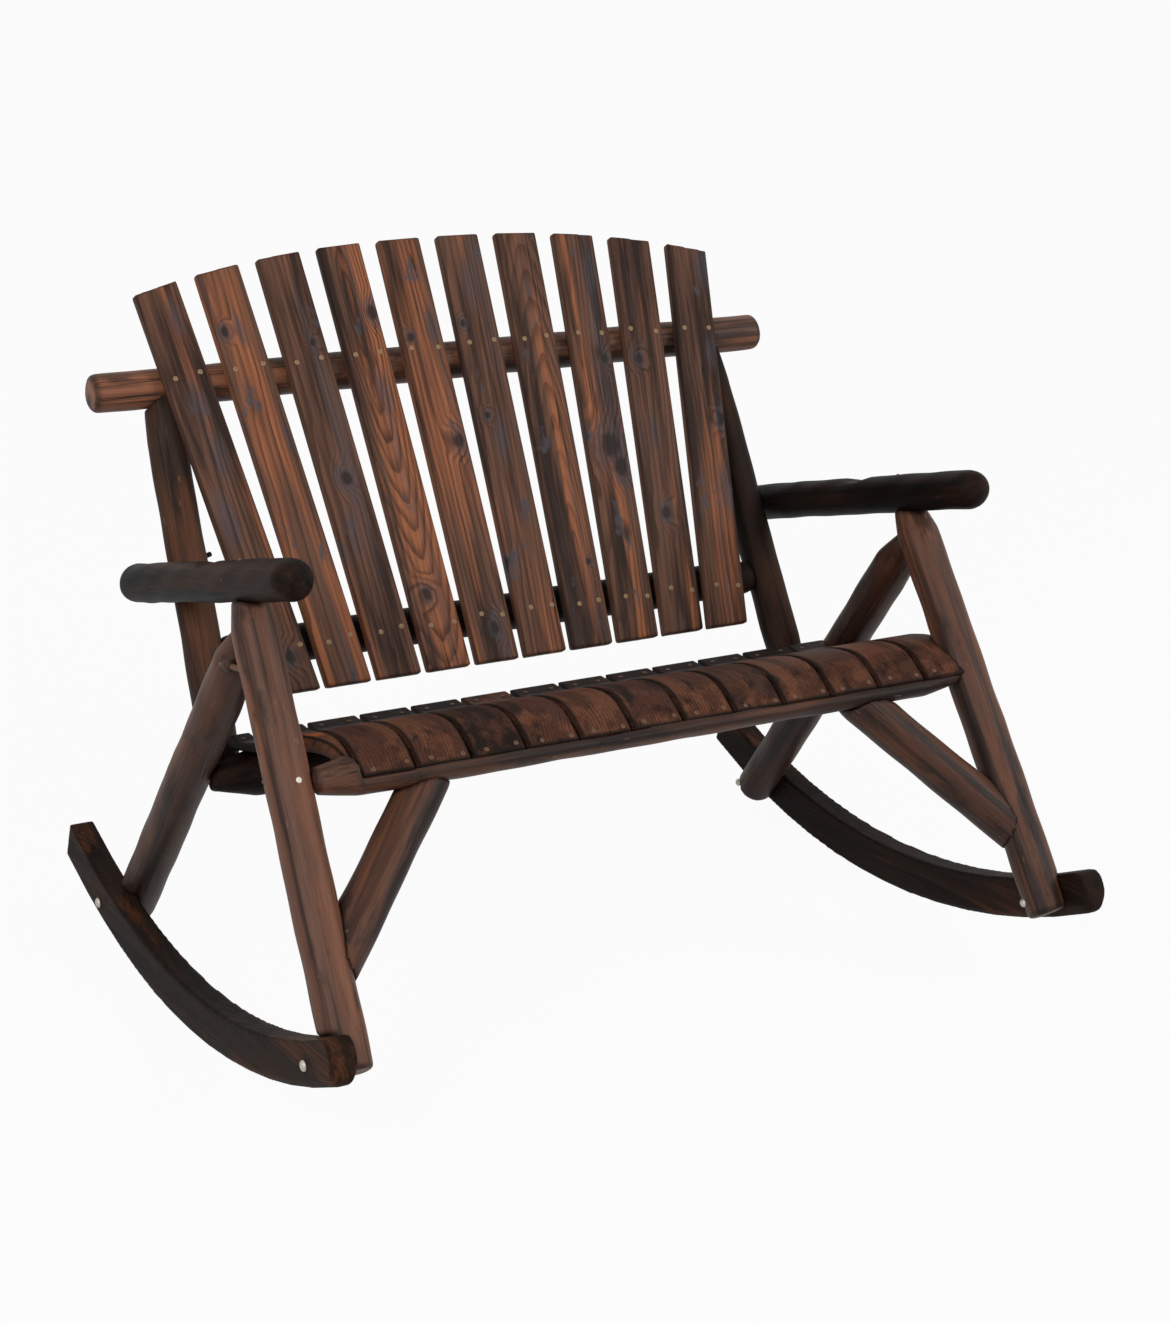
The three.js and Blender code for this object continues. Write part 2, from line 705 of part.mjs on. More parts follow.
// Lag bolts from behind the legs into the ends of the seat rails.
function addRailBolts(name, side) {
  const { frontLeg, rearLeg } = frames[name];
  const under = frontRailLagUnder;
  const entry = inFrontRail(side * frontRailHalf, -frontRailLagBack, under);
  const tipX = side * (frontRailHalf - frontRailLagDepth);
  const front = lagThrough(frontLeg, entry, inFrontRail(tipX, frontRailLagForward, under));
  fasten(`front_rail_bolt_${name}`, front, [`front_leg_${name}`, "seat_front_rail"]);
  const rearX = side * (rearRailHalf - rearRailLagDepth);
  const tip = point(rearX, rearRail.x - rearRailLagForward, rearRail.y);
  const beside = point(atHeight(rearLeg, rearRail.y).x, rearRail.x, rearRail.y);
  const through = nearestOn(rearLeg, beside).add(point(0, rearRailLagBehindLeg, 0));
  const rear = lagThrough(rearLeg, through, tip);
  fasten(`rear_rail_bolt_${name}`, rear, [`rear_leg_${name}`, "seat_rear_rail"]);
}

// The bolt from the post into the armrest, the lag bolt down through the armrest into the front leg,
// and the one from the rear leg into the front leg.
function addArmBolts(name, side) {
  const { arm, frontLeg, rearLeg, post } = frames[name];
  const armTip = point(side * (armX + logRadius - armBoltCover), crossing.y, crossing.z);
  const postFace = side * (postX(crossing.up) - logRadius);
  const through = point(postFace, crossing.y + armBoltBack, crossing.z + armBoltRise);
  const surface = exitOf(post, through, through.clone().sub(armTip));
  const armBolt = bolt(alongLog({ from: surface, to: armTip }, boltBite), armTip);
  fasten(`arm_post_bolt_${name}`, armBolt, [`armrest_${name}`, `back_post_${name}`]);
  const armLag = lagThrough(arm, frontLeg.from, alongLog(frontLeg, armLagReach));
  fasten(`arm_leg_bolt_${name}`, armLag, [`armrest_${name}`, `front_leg_${name}`]);
  const fall = rearLeg.to.clone().sub(rearLeg.from).normalize();
  const forward = fall.clone().cross(X);
  if (forward.y > 0) forward.negate();
  const low = alongLog(rearLeg, rearLegLagAlong).addScaledVector(forward, rearLegLagForward);
  const face = exitOf(rearLeg, low, X.clone().multiplyScalar(side));
  const target = atHeight(frontLeg, low.z);
  const reach = face.distanceTo(target) + rearLegLagDepth;
  const legLag = slantedBolt(face, alongLog({ from: face, to: target }, reach));
  fasten(`leg_bolt_${name}`, legLag, [`rear_leg_${name}`, `front_leg_${name}`]);
}

// Lag bolts from the back of each post into the seat's rear rail and up into the top rail.
function addPostBolts(name, side) {
  const a = radians(backRecline);
  const up = (rearRail.x - backFootY) * Math.sin(a) + (rearRail.y - backFootZ) * Math.cos(a);
  const x = side * (postX(up) - postBoltInset);
  const seat = onBack(x, postDepth + postLowRadius - boltBite, up);
  const tip = onBack(x, postDepth + postLowRadius - postBoltDepth, up);
  fasten(`post_bolt_${name}`, bolt(seat, tip), [`back_post_${name}`, "seat_rear_rail"]);
  const lagUp = topRailHeight - topRailLagBelow;
  const surface = onBack(side * postX(lagUp), postDepth + logRadius, lagUp);
  const railTip = onBack(side * postX(topRailHeight), postDepth, topRailHeight + topRailLagDepth);
  const lag = slantedBolt(surface, railTip);
  fasten(`top_rail_bolt_${name}`, lag, [`back_post_${name}`, "top_rail"]);
}

function meshOf(name, geometry, look) {
  const mesh = new THREE.Mesh(geometry, new THREE.MeshStandardMaterial(look));
  mesh.name = name;
  return mesh;
}

// The height of the back's crowned top edge above its bottom line.
function crown(across) {
  const half = ((backSlatCount - 1) / 2) * backTopPitch;
  return backHeight - backCrownDrop * (Math.abs(across) / half) ** backCrownPower;
}

// The fan of back slats, in a frame that stands on the back's bottom line and leans with it.
function backSlats() {
  const back = new THREE.Group();
  back.position.set(0, backFootY, backFootZ);
  back.rotation.x = -radians(backRecline);
  for (let i = 0; i < backSlatCount; i++) {
    const place = i - (backSlatCount - 1) / 2;
    const low = place * backBottomPitch;
    const high = place * backTopPitch;
    const height = crown(high);
    const half = (backSlatWidth / 2) * Math.hypot(1, (high - low) / height);
    const corner = (edge, up) => new THREE.Vector2(low + edge + ((high - low) * up) / height, up);
    const topCorner = (edge) => corner(edge, crown(high + edge));
    const shape = new THREE.Shape([corner(-half, 0), corner(half, 0), topCorner(half), topCorner(-half)]);
    const geometry = new THREE.ExtrudeGeometry(shape, { depth: backSlatThickness, bevelEnabled: false });
    const slat = meshOf(`back_slat_${i + 1}`, geometry, charred);
    slat.rotation.x = Math.PI / 2;
    slat.position.y = backSlatThickness;
    back.add(slat);
  }
  return back;
}

// One seat slat: the seat's profile with the slat's thickness.
function seatSlat(fromX, toX) {
  const upper = [];
  const lower = [];
  for (let i = 0; i <= seatSteps; i++) {
    const share = i / seatSteps;
    upper.push(underSeat(share, 0));
    lower.unshift(underSeat(share, seatSlatThickness));
  }
  return extrudedAlongX(
    [...upper, ...lower].map((p) => [p.x, p.y]),
    fromX,
    toX,
  );
}

// Full slats side by side, and a narrow one at each end, cut to the legs where it meets them.
function addSeatSlats() {
  for (let i = 0; i < seatSlatCount; i++) {
    const fromX = i * seatSlatPitch - fullSlatsHalfWidth + seatSlatGap / 2;
    keep(`seat_slat_${i + 1}`, seatSlat(fromX, fromX + seatSlatPitch - seatSlatGap), charred);
  }
  const ends = { left: [seatLeftX, -endSlatInnerX], right: [endSlatInnerX, seatRightX] };
  for (const [name, [fromX, toX]] of Object.entries(ends)) {
    const { frontLeg, rearLeg } = frames[name];
    const room = log(frontLeg, fitGap).add(log(rearLeg, fitGap)).add(endSlatCorner());
    keep(`end_slat_${name}`, largest(seatSlat(fromX, toX).subtract(room)), charred);
  }
}

addRails();
for (const [name, side] of Object.entries(sides)) {
  addSideFrame(name, side);
  addRockerBolts(name, side);
  addRailBolts(name, side);
  addArmBolts(name, side);
  addPostBolts(name, side);
}
addSeatSlats();

// The bench as it is built, then leant about the rockers' axis and set down on the floor.
const built = new THREE.Group();
built.position.z = -rockerRadius;
for (const [name, { solid, look }] of pieces) built.add(meshOf(name, geometryOf(solid), look));
built.add(backSlats());

const leant = new THREE.Group();
leant.rotation.x = -radians(restLean);
leant.add(built);

const bench = new THREE.Group();
bench.add(leant);
const box = new THREE.Box3().setFromObject(bench, true);
const middle = box.getCenter(new THREE.Vector3());
leant.position.set(-middle.x, -middle.y, -box.min.z);

export default bench;
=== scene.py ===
import math

import bmesh
import bpy
import numpy as np
from mathutils import Matrix, Vector, kdtree
from mathutils.bvhtree import BVHTree


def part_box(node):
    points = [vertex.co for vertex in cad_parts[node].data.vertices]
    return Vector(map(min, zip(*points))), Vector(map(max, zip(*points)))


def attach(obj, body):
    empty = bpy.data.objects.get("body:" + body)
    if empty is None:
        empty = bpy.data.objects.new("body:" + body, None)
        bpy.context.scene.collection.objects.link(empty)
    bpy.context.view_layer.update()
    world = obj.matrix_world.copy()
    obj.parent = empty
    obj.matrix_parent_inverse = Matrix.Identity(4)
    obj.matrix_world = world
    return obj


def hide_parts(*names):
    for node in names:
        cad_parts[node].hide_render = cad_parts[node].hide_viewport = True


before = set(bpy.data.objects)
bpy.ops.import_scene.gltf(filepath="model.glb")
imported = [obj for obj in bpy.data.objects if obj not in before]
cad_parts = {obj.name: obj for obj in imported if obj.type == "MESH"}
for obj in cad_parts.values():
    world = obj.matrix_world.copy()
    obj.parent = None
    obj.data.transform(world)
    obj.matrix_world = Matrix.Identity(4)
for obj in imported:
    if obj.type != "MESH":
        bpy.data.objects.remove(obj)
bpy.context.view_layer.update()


# The rockers are sawn from thick board, charred almost black and rubbed down, so that brown grain
# shows near their front ends. A pale band is left where the lower edges are bevelled. Each rocker
# is bolted to the feet of two legs.

def put(tree, kind, inputs=None, **settings):
    """A node in a shader tree. An input that is a socket is linked, any other is a value."""
    made = tree.nodes.new(kind)
    for name, value in settings.items():
        setattr(made, name, value)
    for name, value in (inputs or {}).items():
        if isinstance(value, bpy.types.NodeSocket):
            tree.links.new(value, made.inputs[name])
        else:
            made.inputs[name].default_value = value
    return made


def calc(tree, operation, first, second=0.0):
    return put(tree, "ShaderNodeMath", {0: first, 1: second}, operation=operation).outputs[0]


def plus(tree, first, second):
    return calc(tree, "ADD", first, second)


def minus(tree, first, second):
    return calc(tree, "SUBTRACT", first, second)


def times(tree, first, second):
    return calc(tree, "MULTIPLY", first, second)


def ramp(tree, value, low, high):
    """A smooth step from 0 at low to 1 at high."""
    inputs = {"Value": value, "From Min": low, "From Max": high}
    made = put(tree, "ShaderNodeMapRange", inputs, interpolation_type="SMOOTHSTEP")
    return made.outputs["Result"]


def fall(tree, value, low, high):
    """A smooth step from 1 at low to 0 at high."""
    return minus(tree, 1.0, ramp(tree, value, low, high))


def paint(tree, factor, under, over, mode="MIX"):
    """Two colours mixed by a factor."""
    inputs = {"Factor": factor, 6: under, 7: over}
    made = put(tree, "ShaderNodeMix", inputs, data_type="RGBA", blend_type=mode)
    return made.outputs[2]


def stretched_noise(tree, vector, across, along, detail=3.0, roughness=0.55):
    """Noise whose grains are long in the direction of the wood's fibres."""
    scale = (across, across, along)
    spread = put(tree, "ShaderNodeVectorMath", {0: vector, 1: scale}, operation="MULTIPLY")
    inputs = {"Vector": spread.outputs[0], "Scale": 1.0, "Detail": detail, "Roughness": roughness}
    return put(tree, "ShaderNodeTexNoise", inputs).outputs["Fac"]


def new_group(name, inputs, outputs):
    tree = bpy.data.node_groups.new(name, "ShaderNodeTree")
    for label, kind in inputs.items():
        tree.interface.new_socket(label, in_out="INPUT", socket_type=kind)
    for label, kind in outputs.items():
        tree.interface.new_socket(label, in_out="OUTPUT", socket_type=kind)
    return tree, tree.nodes.new("NodeGroupInput").outputs, tree.nodes.new("NodeGroupOutput").inputs


def srgb(red, green, blue):
    """A colour as it looks on screen, as the linear values that a shader takes."""
    shares = [channel / 255 for channel in (red, green, blue)]
    return (*[(s + 0.055) ** 2.4 / 1.055 ** 2.4 if s > 0.04 else s / 12.92 for s in shares], 1.0)


def sawn_grain_group():
    """Growth rings, fibres, knots, cracks and char of a sawn board, in the board's own frame."""
    inputs = {"Place": "NodeSocketVector", "Pith": "NodeSocketVector", "Knot": "NodeSocketFloat",
              "Bruise": "NodeSocketFloat", "Seed": "NodeSocketFloat", "Ring Width": "NodeSocketFloat"}
    names = ("Late Wood", "Fibre", "Tone", "Warmth", "Char", "Knots", "Cracks", "Haze")
    tree, given, result = new_group("sawn grain", inputs, {name: "NodeSocketFloat" for name in names})
    shift = put(tree, "ShaderNodeCombineXYZ", {0: given["Seed"], 1: given["Seed"], 2: given["Seed"]})
    moved = put(tree, "ShaderNodeVectorMath", {0: given["Place"], 1: shift.outputs[0]}, operation="ADD")
    moved = moved.outputs[0]
    x, y, z = put(tree, "ShaderNodeSeparateXYZ", {0: given["Place"]}).outputs
    across, depth, tilt = put(tree, "ShaderNodeSeparateXYZ", {0: given["Pith"]}).outputs
    ragged = times(tree, stretched_noise(tree, moved, 90.0, 60.0, 3.0), 0.8)
    knot_share = plus(tree, given["Knot"], minus(tree, ragged, 0.4))
    wave = stretched_noise(tree, moved, 14.0, 2.2, 4.0)
    from_x = minus(tree, x, across)
    from_y = minus(tree, minus(tree, y, depth), times(tree, z, tilt))
    radius = calc(tree, "SQRT", plus(tree, times(tree, from_x, from_x),
                                     times(tree, from_y, from_y)))
    radius = plus(tree, radius, times(tree, wave, 0.020))
    round_knot = fall(tree, knot_share, 0.4, 3.2)
    radius = plus(tree, radius, times(tree, round_knot, 0.012))
    turns = calc(tree, "DIVIDE", radius, given["Ring Width"])
    ring = calc(tree, "FRACT", turns)
    late = times(tree, ramp(tree, ring, 0.30, 0.88),
                fall(tree, ring, 0.90, 1.0))
    year = put(tree, "ShaderNodeTexWhiteNoise", {"W": calc(tree, "FLOOR", turns)}, noise_dimensions="1D")
    strong = plus(tree, times(tree, year.outputs["Value"], 0.5), 0.5)
    fade = ramp(tree, stretched_noise(tree, moved, 22.0, 3.0, 2.0), 0.35, 0.6)
    strong = times(tree, strong, plus(tree, times(tree, fade, 0.55), 0.45))
    late = times(tree, late, strong)
    fine = stretched_noise(tree, moved, 560.0, 8.0, 3.0, 0.65)
    coarse = stretched_noise(tree, moved, 210.0, 3.2, 3.0, 0.65)
    fibre = plus(tree, times(tree, fine, 0.45), times(tree, coarse, 0.55))
    cell_place = put(tree, "ShaderNodeCombineXYZ", {0: times(tree, x, 10.0),
                                                     1: times(tree, z, 5.0), 2: given["Seed"]})
    cells = put(tree, "ShaderNodeTexVoronoi", {"Vector": cell_place.outputs[0], "Scale": 1.0})
    lot = put(tree, "ShaderNodeSeparateColor", {0: cells.outputs["Color"]}).outputs[0]
    near = plus(tree, cells.outputs["Distance"], times(tree, ragged, 0.1))
    small = times(tree, fall(tree, near, 0.06, 0.16),
                 calc(tree, "GREATER_THAN", lot, 0.72))
    big = fall(tree, knot_share, 0.5, 1.1)
    frayed = times(tree, minus(tree, stretched_noise(tree, moved, 60.0, 9.0, 4.0), 0.5), 2.6)
    bruise = fall(tree, plus(tree, given["Bruise"], frayed), 0.3, 1.3)
    halo = fall(tree, plus(tree, given["Knot"], frayed), 0.8, 2.4)
    streaks = ramp(tree, stretched_noise(tree, moved, 30.0, 1.7, 4.0, 0.6), 0.55, 0.68)
    haze = calc(tree, "MAXIMUM", calc(tree, "MAXIMUM", bruise, halo), times(tree, streaks, 0.7))
    split = calc(tree, "ABSOLUTE", minus(tree, stretched_noise(tree, moved, 60.0, 1.1, 2.0), 0.5))
    crack = fall(tree, split, 0.0, 0.010)
    crack = times(tree, crack, ramp(tree, stretched_noise(tree, moved, 11.0, 4.0, 1.0), 0.52, 0.60))
    tree.links.new(late, result["Late Wood"])
    tree.links.new(fibre, result["Fibre"])
    tree.links.new(stretched_noise(tree, moved, 42.0, 2.6, 5.0, 0.62), result["Tone"])
    tree.links.new(stretched_noise(tree, moved, 26.0, 1.6, 3.0, 0.6), result["Warmth"])
    tree.links.new(stretched_noise(tree, moved, 24.0, 11.0, 6.0, 0.62), result["Char"])
    tree.links.new(calc(tree, "MAXIMUM", small, big), result["Knots"])
    tree.links.new(crack, result["Cracks"])
    tree.links.new(haze, result["Haze"])
    return tree


sawn_grain = sawn_grain_group()


def read(tree, name):
    """A value that is kept on the points of a piece."""
    return put(tree, "ShaderNodeAttribute", attribute_name=name)


def grey(tree, value):
    return put(tree, "ShaderNodeCombineColor", {0: value, 1: value, 2: value}).outputs[0]


sharp_angle = math.radians(38)
worn_orange = srgb(158, 90, 52)
soot = srgb(28, 23, 23)
knot_brown = srgb(34, 27, 26)
crack_black = srgb(20, 14, 12)
# Burnt edges, and painted shade along the edges.
edge_char_and_shade = srgb(22, 15, 12)


def sawn_wood(name, dark, middle, warm, smoke, haze, ring_width, contrast, burnt,
              edge_width, edge_share, roughness, gloss):
    """Charred and brushed board: brown between dark and warm streaks, smoky patches, edges darkened by
    burns and painted shade.
    """
    material = bpy.data.materials.new(name)
    material.use_nodes = True
    tree = material.node_tree
    shader = tree.nodes["Principled BSDF"]
    place = put(tree, "ShaderNodeTexCoord").outputs["Object"]
    grain = put(tree, "ShaderNodeGroup", node_tree=sawn_grain)
    for socket, value in {"Place": place, "Pith": read(tree, "pith").outputs["Vector"],
                          "Knot": read(tree, "knot").outputs["Fac"],
                          "Bruise": read(tree, "bruise").outputs["Fac"],
                          "Seed": read(tree, "seed").outputs["Fac"]}.items():
        tree.links.new(value, grain.inputs[socket])
    grain.inputs["Ring Width"].default_value = ring_width
    late, fibre, tone, warmth, char, knots, cracks, hazy = grain.outputs
    light = read(tree, "light").outputs["Fac"]
    base = paint(tree, ramp(tree, plus(tree, tone, light), 0.34, 0.58), dark, middle)
    base = paint(tree, ramp(tree, plus(tree, warmth, light), 0.50, 0.64), base, warm)
    base = paint(tree, times(tree, hazy, haze), base, smoke)
    base = paint(tree, times(tree, late, contrast), base, dark)
    base = paint(tree, ramp(tree, light, 0.2, 0.5), base, worn_orange)
    base = paint(tree, 1.0, base, grey(tree, times(tree, fibre, 2.0)), "MULTIPLY")
    base = paint(tree, times(tree, ramp(tree, char, burnt, burnt + 0.07), 0.8), base, smoke)
    blackest = ramp(tree, char, burnt + 0.07, burnt + 0.13)
    base = paint(tree, times(tree, blackest, 0.7), base, soot)
    base = paint(tree, times(tree, knots, 0.8), base, knot_brown)
    base = paint(tree, times(tree, cracks, 0.8), base, crack_black)
    # Edges are darkened where the char runs, and by the edge share as painted shade along every edge,
    # which darkens the gaps between the seat slats.
    edge = fall(tree, read(tree, "edge").outputs["Fac"], 0.0005, edge_width)
    edge = times(tree, edge, plus(tree, times(tree, char, 0.9), edge_share))
    base = paint(tree, calc(tree, "MINIMUM", edge, 1.0), base, edge_char_and_shade)
    tree.links.new(base, shader.inputs["Base Color"])
    rough = plus(tree, times(tree, fibre, 0.3), roughness - 0.15)
    tree.links.new(rough, shader.inputs["Roughness"])
    relief = plus(tree, times(tree, late, 0.8), times(tree, fibre, 1.4))
    relief = minus(tree, relief, times(tree, knots, 0.5))
    relief = minus(tree, relief, times(tree, cracks, 1.2))
    bump = put(tree, "ShaderNodeBump", {"Height": relief, "Strength": 0.6, "Distance": 0.0007})
    tree.links.new(bump.outputs[0], shader.inputs["Normal"])
    shader.inputs["Specular IOR Level"].default_value = gloss
    return material


def own_frame(shape, facing=None, square=None):
    """The frame of a piece's grain, at its middle: across, through its thickness and along it.
    Facing is the side that the thickness points to, square an axis that the length is square to.
    A board without such an axis is lined up with its broad face and its longest edge."""
    centres = np.array([f.calc_center_median() for f in shape.faces])
    areas = np.array([f.calc_area() for f in shape.faces])
    middle = (centres * areas[:, None]).sum(0) / areas.sum()
    spread = (centres - middle) * np.sqrt(areas)[:, None]
    if facing is not None and square is None:
        through = np.array(shape.faces[int(areas.argmax())].normal)
        edges = [e for e in shape.edges if e.calc_face_angle(0.0) > sharp_angle]
        longest = max(edges, key=lambda e: e.calc_length())
        along = np.array(longest.verts[1].co - longest.verts[0].co)
        along -= (along @ through) * through
    else:
        if square is not None:
            spread -= np.outer(spread @ square, square)
        along = np.linalg.eigh(spread.T @ spread)[1][:, 2]
        through = np.array((0.0, 0.0, 1.0)) if square is None else np.array(square, float)
        if square is not None and abs(through @ np.array(facing)) < 0.5:
            through = np.cross(along, through)
        through -= (through @ along) * along
    along /= np.linalg.norm(along)
    through /= np.linalg.norm(through)
    along *= 1 if along @ (1.0, 0.4, 0.8) > 0 else -1
    through *= 1 if facing is None or through @ np.array(facing) > 0 else -1
    place = Matrix(np.array([np.cross(through, along), through, along]).T.tolist()).to_4x4()
    place.translation = Vector(middle)
    return place


edge_point_spacing = 0.002


def sharp_edges(shape, place):
    """Points along the sharp edges of a shape, in a tree that finds the nearest one."""
    points = []
    for edge in shape.edges:
        if len(edge.link_faces) == 2 and edge.calc_face_angle(0.0) > sharp_angle:
            a, b = (v.co for v in edge.verts)
            count = max(2, int((b - a).length / edge_point_spacing))
            points += [place @ a.lerp(b, i / count) for i in range(count + 1)]
    tree = kdtree.KDTree(len(points))
    for i, p in enumerate(points):
        tree.insert(p, i)
    tree.balance()
    return tree


def store(mesh, name, values, kind="FLOAT"):
    attribute = mesh.attributes.new(name, kind, "POINT")
    field = "value" if kind == "FLOAT" else "vector"
    attribute.data.foreach_set(field, np.asarray(values, np.float32).ravel())


weld_distance = 0.00002
ease_factor = 0.5


def worked_piece(node, cell, smoothing, seed, facing=None, square=None, plugs=()):
    """A finely meshed copy of a solid, with eased edges, in the frame of its own grain. Plugs are
    shapes that are joined to it, to fill its bores."""
    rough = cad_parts[node].data.copy()
    shape = bmesh.new()
    shape.from_mesh(rough)
    bmesh.ops.remove_doubles(shape, verts=shape.verts, dist=weld_distance)
    bmesh.ops.triangulate(shape, faces=shape.faces)
    shape.faces.ensure_lookup_table()
    place = own_frame(shape, facing, square)
    edges = sharp_edges(shape, place.inverted())
    for plug in plugs:
        shape.from_mesh(plug)
    shape.transform(place.inverted())
    shape.to_mesh(rough)
    shape.free()
    piece = bpy.data.objects.new(node + "_wood", rough)
    bpy.context.scene.collection.objects.link(piece)
    remesh = piece.modifiers.new("fine", "REMESH")
    remesh.mode = "VOXEL"
    remesh.voxel_size = cell
    if smoothing:
        ease = piece.modifiers.new("ease", "SMOOTH")
        ease.factor = ease_factor
        ease.iterations = smoothing
    bpy.context.view_layer.update()
    fine = bpy.data.meshes.new_from_object(piece.evaluated_get(bpy.context.evaluated_depsgraph_get()))
    piece.modifiers.clear()
    piece.data = fine
    bpy.data.meshes.remove(rough)
    piece.matrix_world = place
    fine.shade_smooth()
    store(fine, "edge", [edges.find(v.co)[2] for v in fine.vertices])
    store(fine, "seed", np.full(len(fine.vertices), seed))
    return piece


def fix(piece, node, material):
    """The piece stands for its solid, rides with the bench and has its finish."""
    piece.data.materials.clear()
    piece.data.materials.append(material)
    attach(piece, "root")
    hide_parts(node)


far_away = 9.0
knot_length = 1.4
bruise_length = 3.0


def apart(piece, spots, length):
    """How far each point of a piece is from the nearest spot, in that spot's own size. A spot is its
    place across and along the board and its half width, and it is so many times longer than wide."""
    points = np.array([v.co for v in piece.data.vertices])
    shares = [np.hypot(points[:, 0] - x, (points[:, 2] - z) / length) / size for x, z, size in spots]
    return np.minimum.reduce([np.full(len(points), far_away), *shares])


def grow_rings(piece, pith, knots, bruises=(), light=0.0):
    """Where the middle of the tree was, the knots and bruised spots, and how light the board is."""
    count = len(piece.data.vertices)
    store(piece.data, "pith", np.tile(pith, (count, 1)), "FLOAT_VECTOR")
    store(piece.data, "knot", apart(piece, knots, knot_length))
    store(piece.data, "bruise", apart(piece, bruises, bruise_length))
    store(piece.data, "light", np.full(count, 1.0) * light)


rocker_wood = sawn_wood(
    "rocker wood", dark=srgb(17, 11, 9), middle=srgb(38, 25, 19), warm=srgb(72, 43, 28),
    smoke=srgb(24, 20, 19), haze=0.4,
    ring_width=0.006, contrast=0.6, burnt=0.56,
    edge_width=0.006, edge_share=0.1, roughness=0.62, gloss=0.05)
rocker_side = (1.0, 0.0, 0.0)
rocker_cell, rocker_smoothing = 0.003, 6
rocker_pith = (0.05, -0.03, 0.02)
rocker_knots = [(0.02, 0.2, 0.011)]
# The brown starts at this Y and is full this much nearer the front.
bare_from, bare_over = -0.20, 0.12
for number, side in enumerate(("left", "right")):
    rocker = worked_piece(
        f"rocker_{side}", rocker_cell, rocker_smoothing, 3.0 + number, rocker_side, rocker_side)
    front = np.array([(rocker.matrix_world @ v.co).y for v in rocker.data.vertices])
    bare = np.clip((bare_from - front) / bare_over, 0.0, 1.0)
    grow_rings(rocker, rocker_pith, rocker_knots, light=0.07 * bare - 0.04)
    fix(rocker, f"rocker_{side}", rocker_wood)


# The frame is of peeled round logs, stained, charred in places and varnished to a soft gloss. The
# ends are rounded over, and each end that meets another log is hollowed to fit round it.

def log_skin_group():
    """Streaks, knots, drying cracks, scuffs and burnt places of a peeled log, in the log's own frame."""
    inputs = {"Place": "NodeSocketVector", "Seed": "NodeSocketFloat"}
    names = ("Streak", "Fibre", "Tone", "Char", "Knots", "Cracks", "Scuffs")
    tree, given, result = new_group("log skin", inputs, {name: "NodeSocketFloat" for name in names})
    shift = put(tree, "ShaderNodeCombineXYZ", {0: given["Seed"], 1: given["Seed"], 2: given["Seed"]})
    moved = put(tree, "ShaderNodeVectorMath", {0: given["Place"], 1: shift.outputs[0]}, operation="ADD")
    moved = moved.outputs[0]
    squeezed = put(tree, "ShaderNodeVectorMath", {0: moved, 1: (13.0, 13.0, 6.0)}, operation="MULTIPLY")
    cells = put(tree, "ShaderNodeTexVoronoi", {"Vector": squeezed.outputs[0], "Scale": 1.0})
    lot = put(tree, "ShaderNodeSeparateColor", {0: cells.outputs["Color"]}).outputs[0]
    ragged = times(tree, stretched_noise(tree, moved, 90.0, 60.0, 3.0), 0.12)
    near = plus(tree, cells.outputs["Distance"], ragged)
    knots = times(tree, fall(tree, near, 0.14, 0.28),
                 calc(tree, "GREATER_THAN", lot, 0.55))
    long_streak = stretched_noise(tree, moved, 48.0, 1.6, 4.0, 0.6)
    thin_streak = stretched_noise(tree, moved, 150.0, 3.5, 3.0, 0.6)
    streak = plus(tree, times(tree, long_streak, 0.75), times(tree, thin_streak, 0.25))
    split = calc(tree, "ABSOLUTE", minus(tree, stretched_noise(tree, moved, 42.0, 0.9, 2.0), 0.5))
    crack = fall(tree, split, 0.0, 0.012)
    crack = times(tree, crack, ramp(tree, stretched_noise(tree, moved, 9.0, 3.0, 1.0), 0.54, 0.62))
    nick = times(tree, ramp(tree, stretched_noise(tree, moved, 130.0, 26.0, 2.0), 0.69, 0.74),
                ramp(tree, stretched_noise(tree, moved, 14.0, 5.0, 1.0), 0.45, 0.6))
    tree.links.new(streak, result["Streak"])
    fine = stretched_noise(tree, moved, 480.0, 9.0, 3.0, 0.65)
    tree.links.new(fine, result["Fibre"])
    tree.links.new(stretched_noise(tree, moved, 15.0, 3.0, 4.0), result["Tone"])
    tree.links.new(stretched_noise(tree, moved, 24.0, 8.0, 6.0, 0.62), result["Char"])
    tree.links.new(knots, result["Knots"])
    tree.links.new(crack, result["Cracks"])
    tree.links.new(nick, result["Scuffs"])
    return tree


log_skin = log_skin_group()


log_soot = srgb(32, 25, 23)
log_knot = srgb(26, 18, 15)
log_crack = srgb(16, 11, 9)
log_end_char = srgb(20, 14, 11)


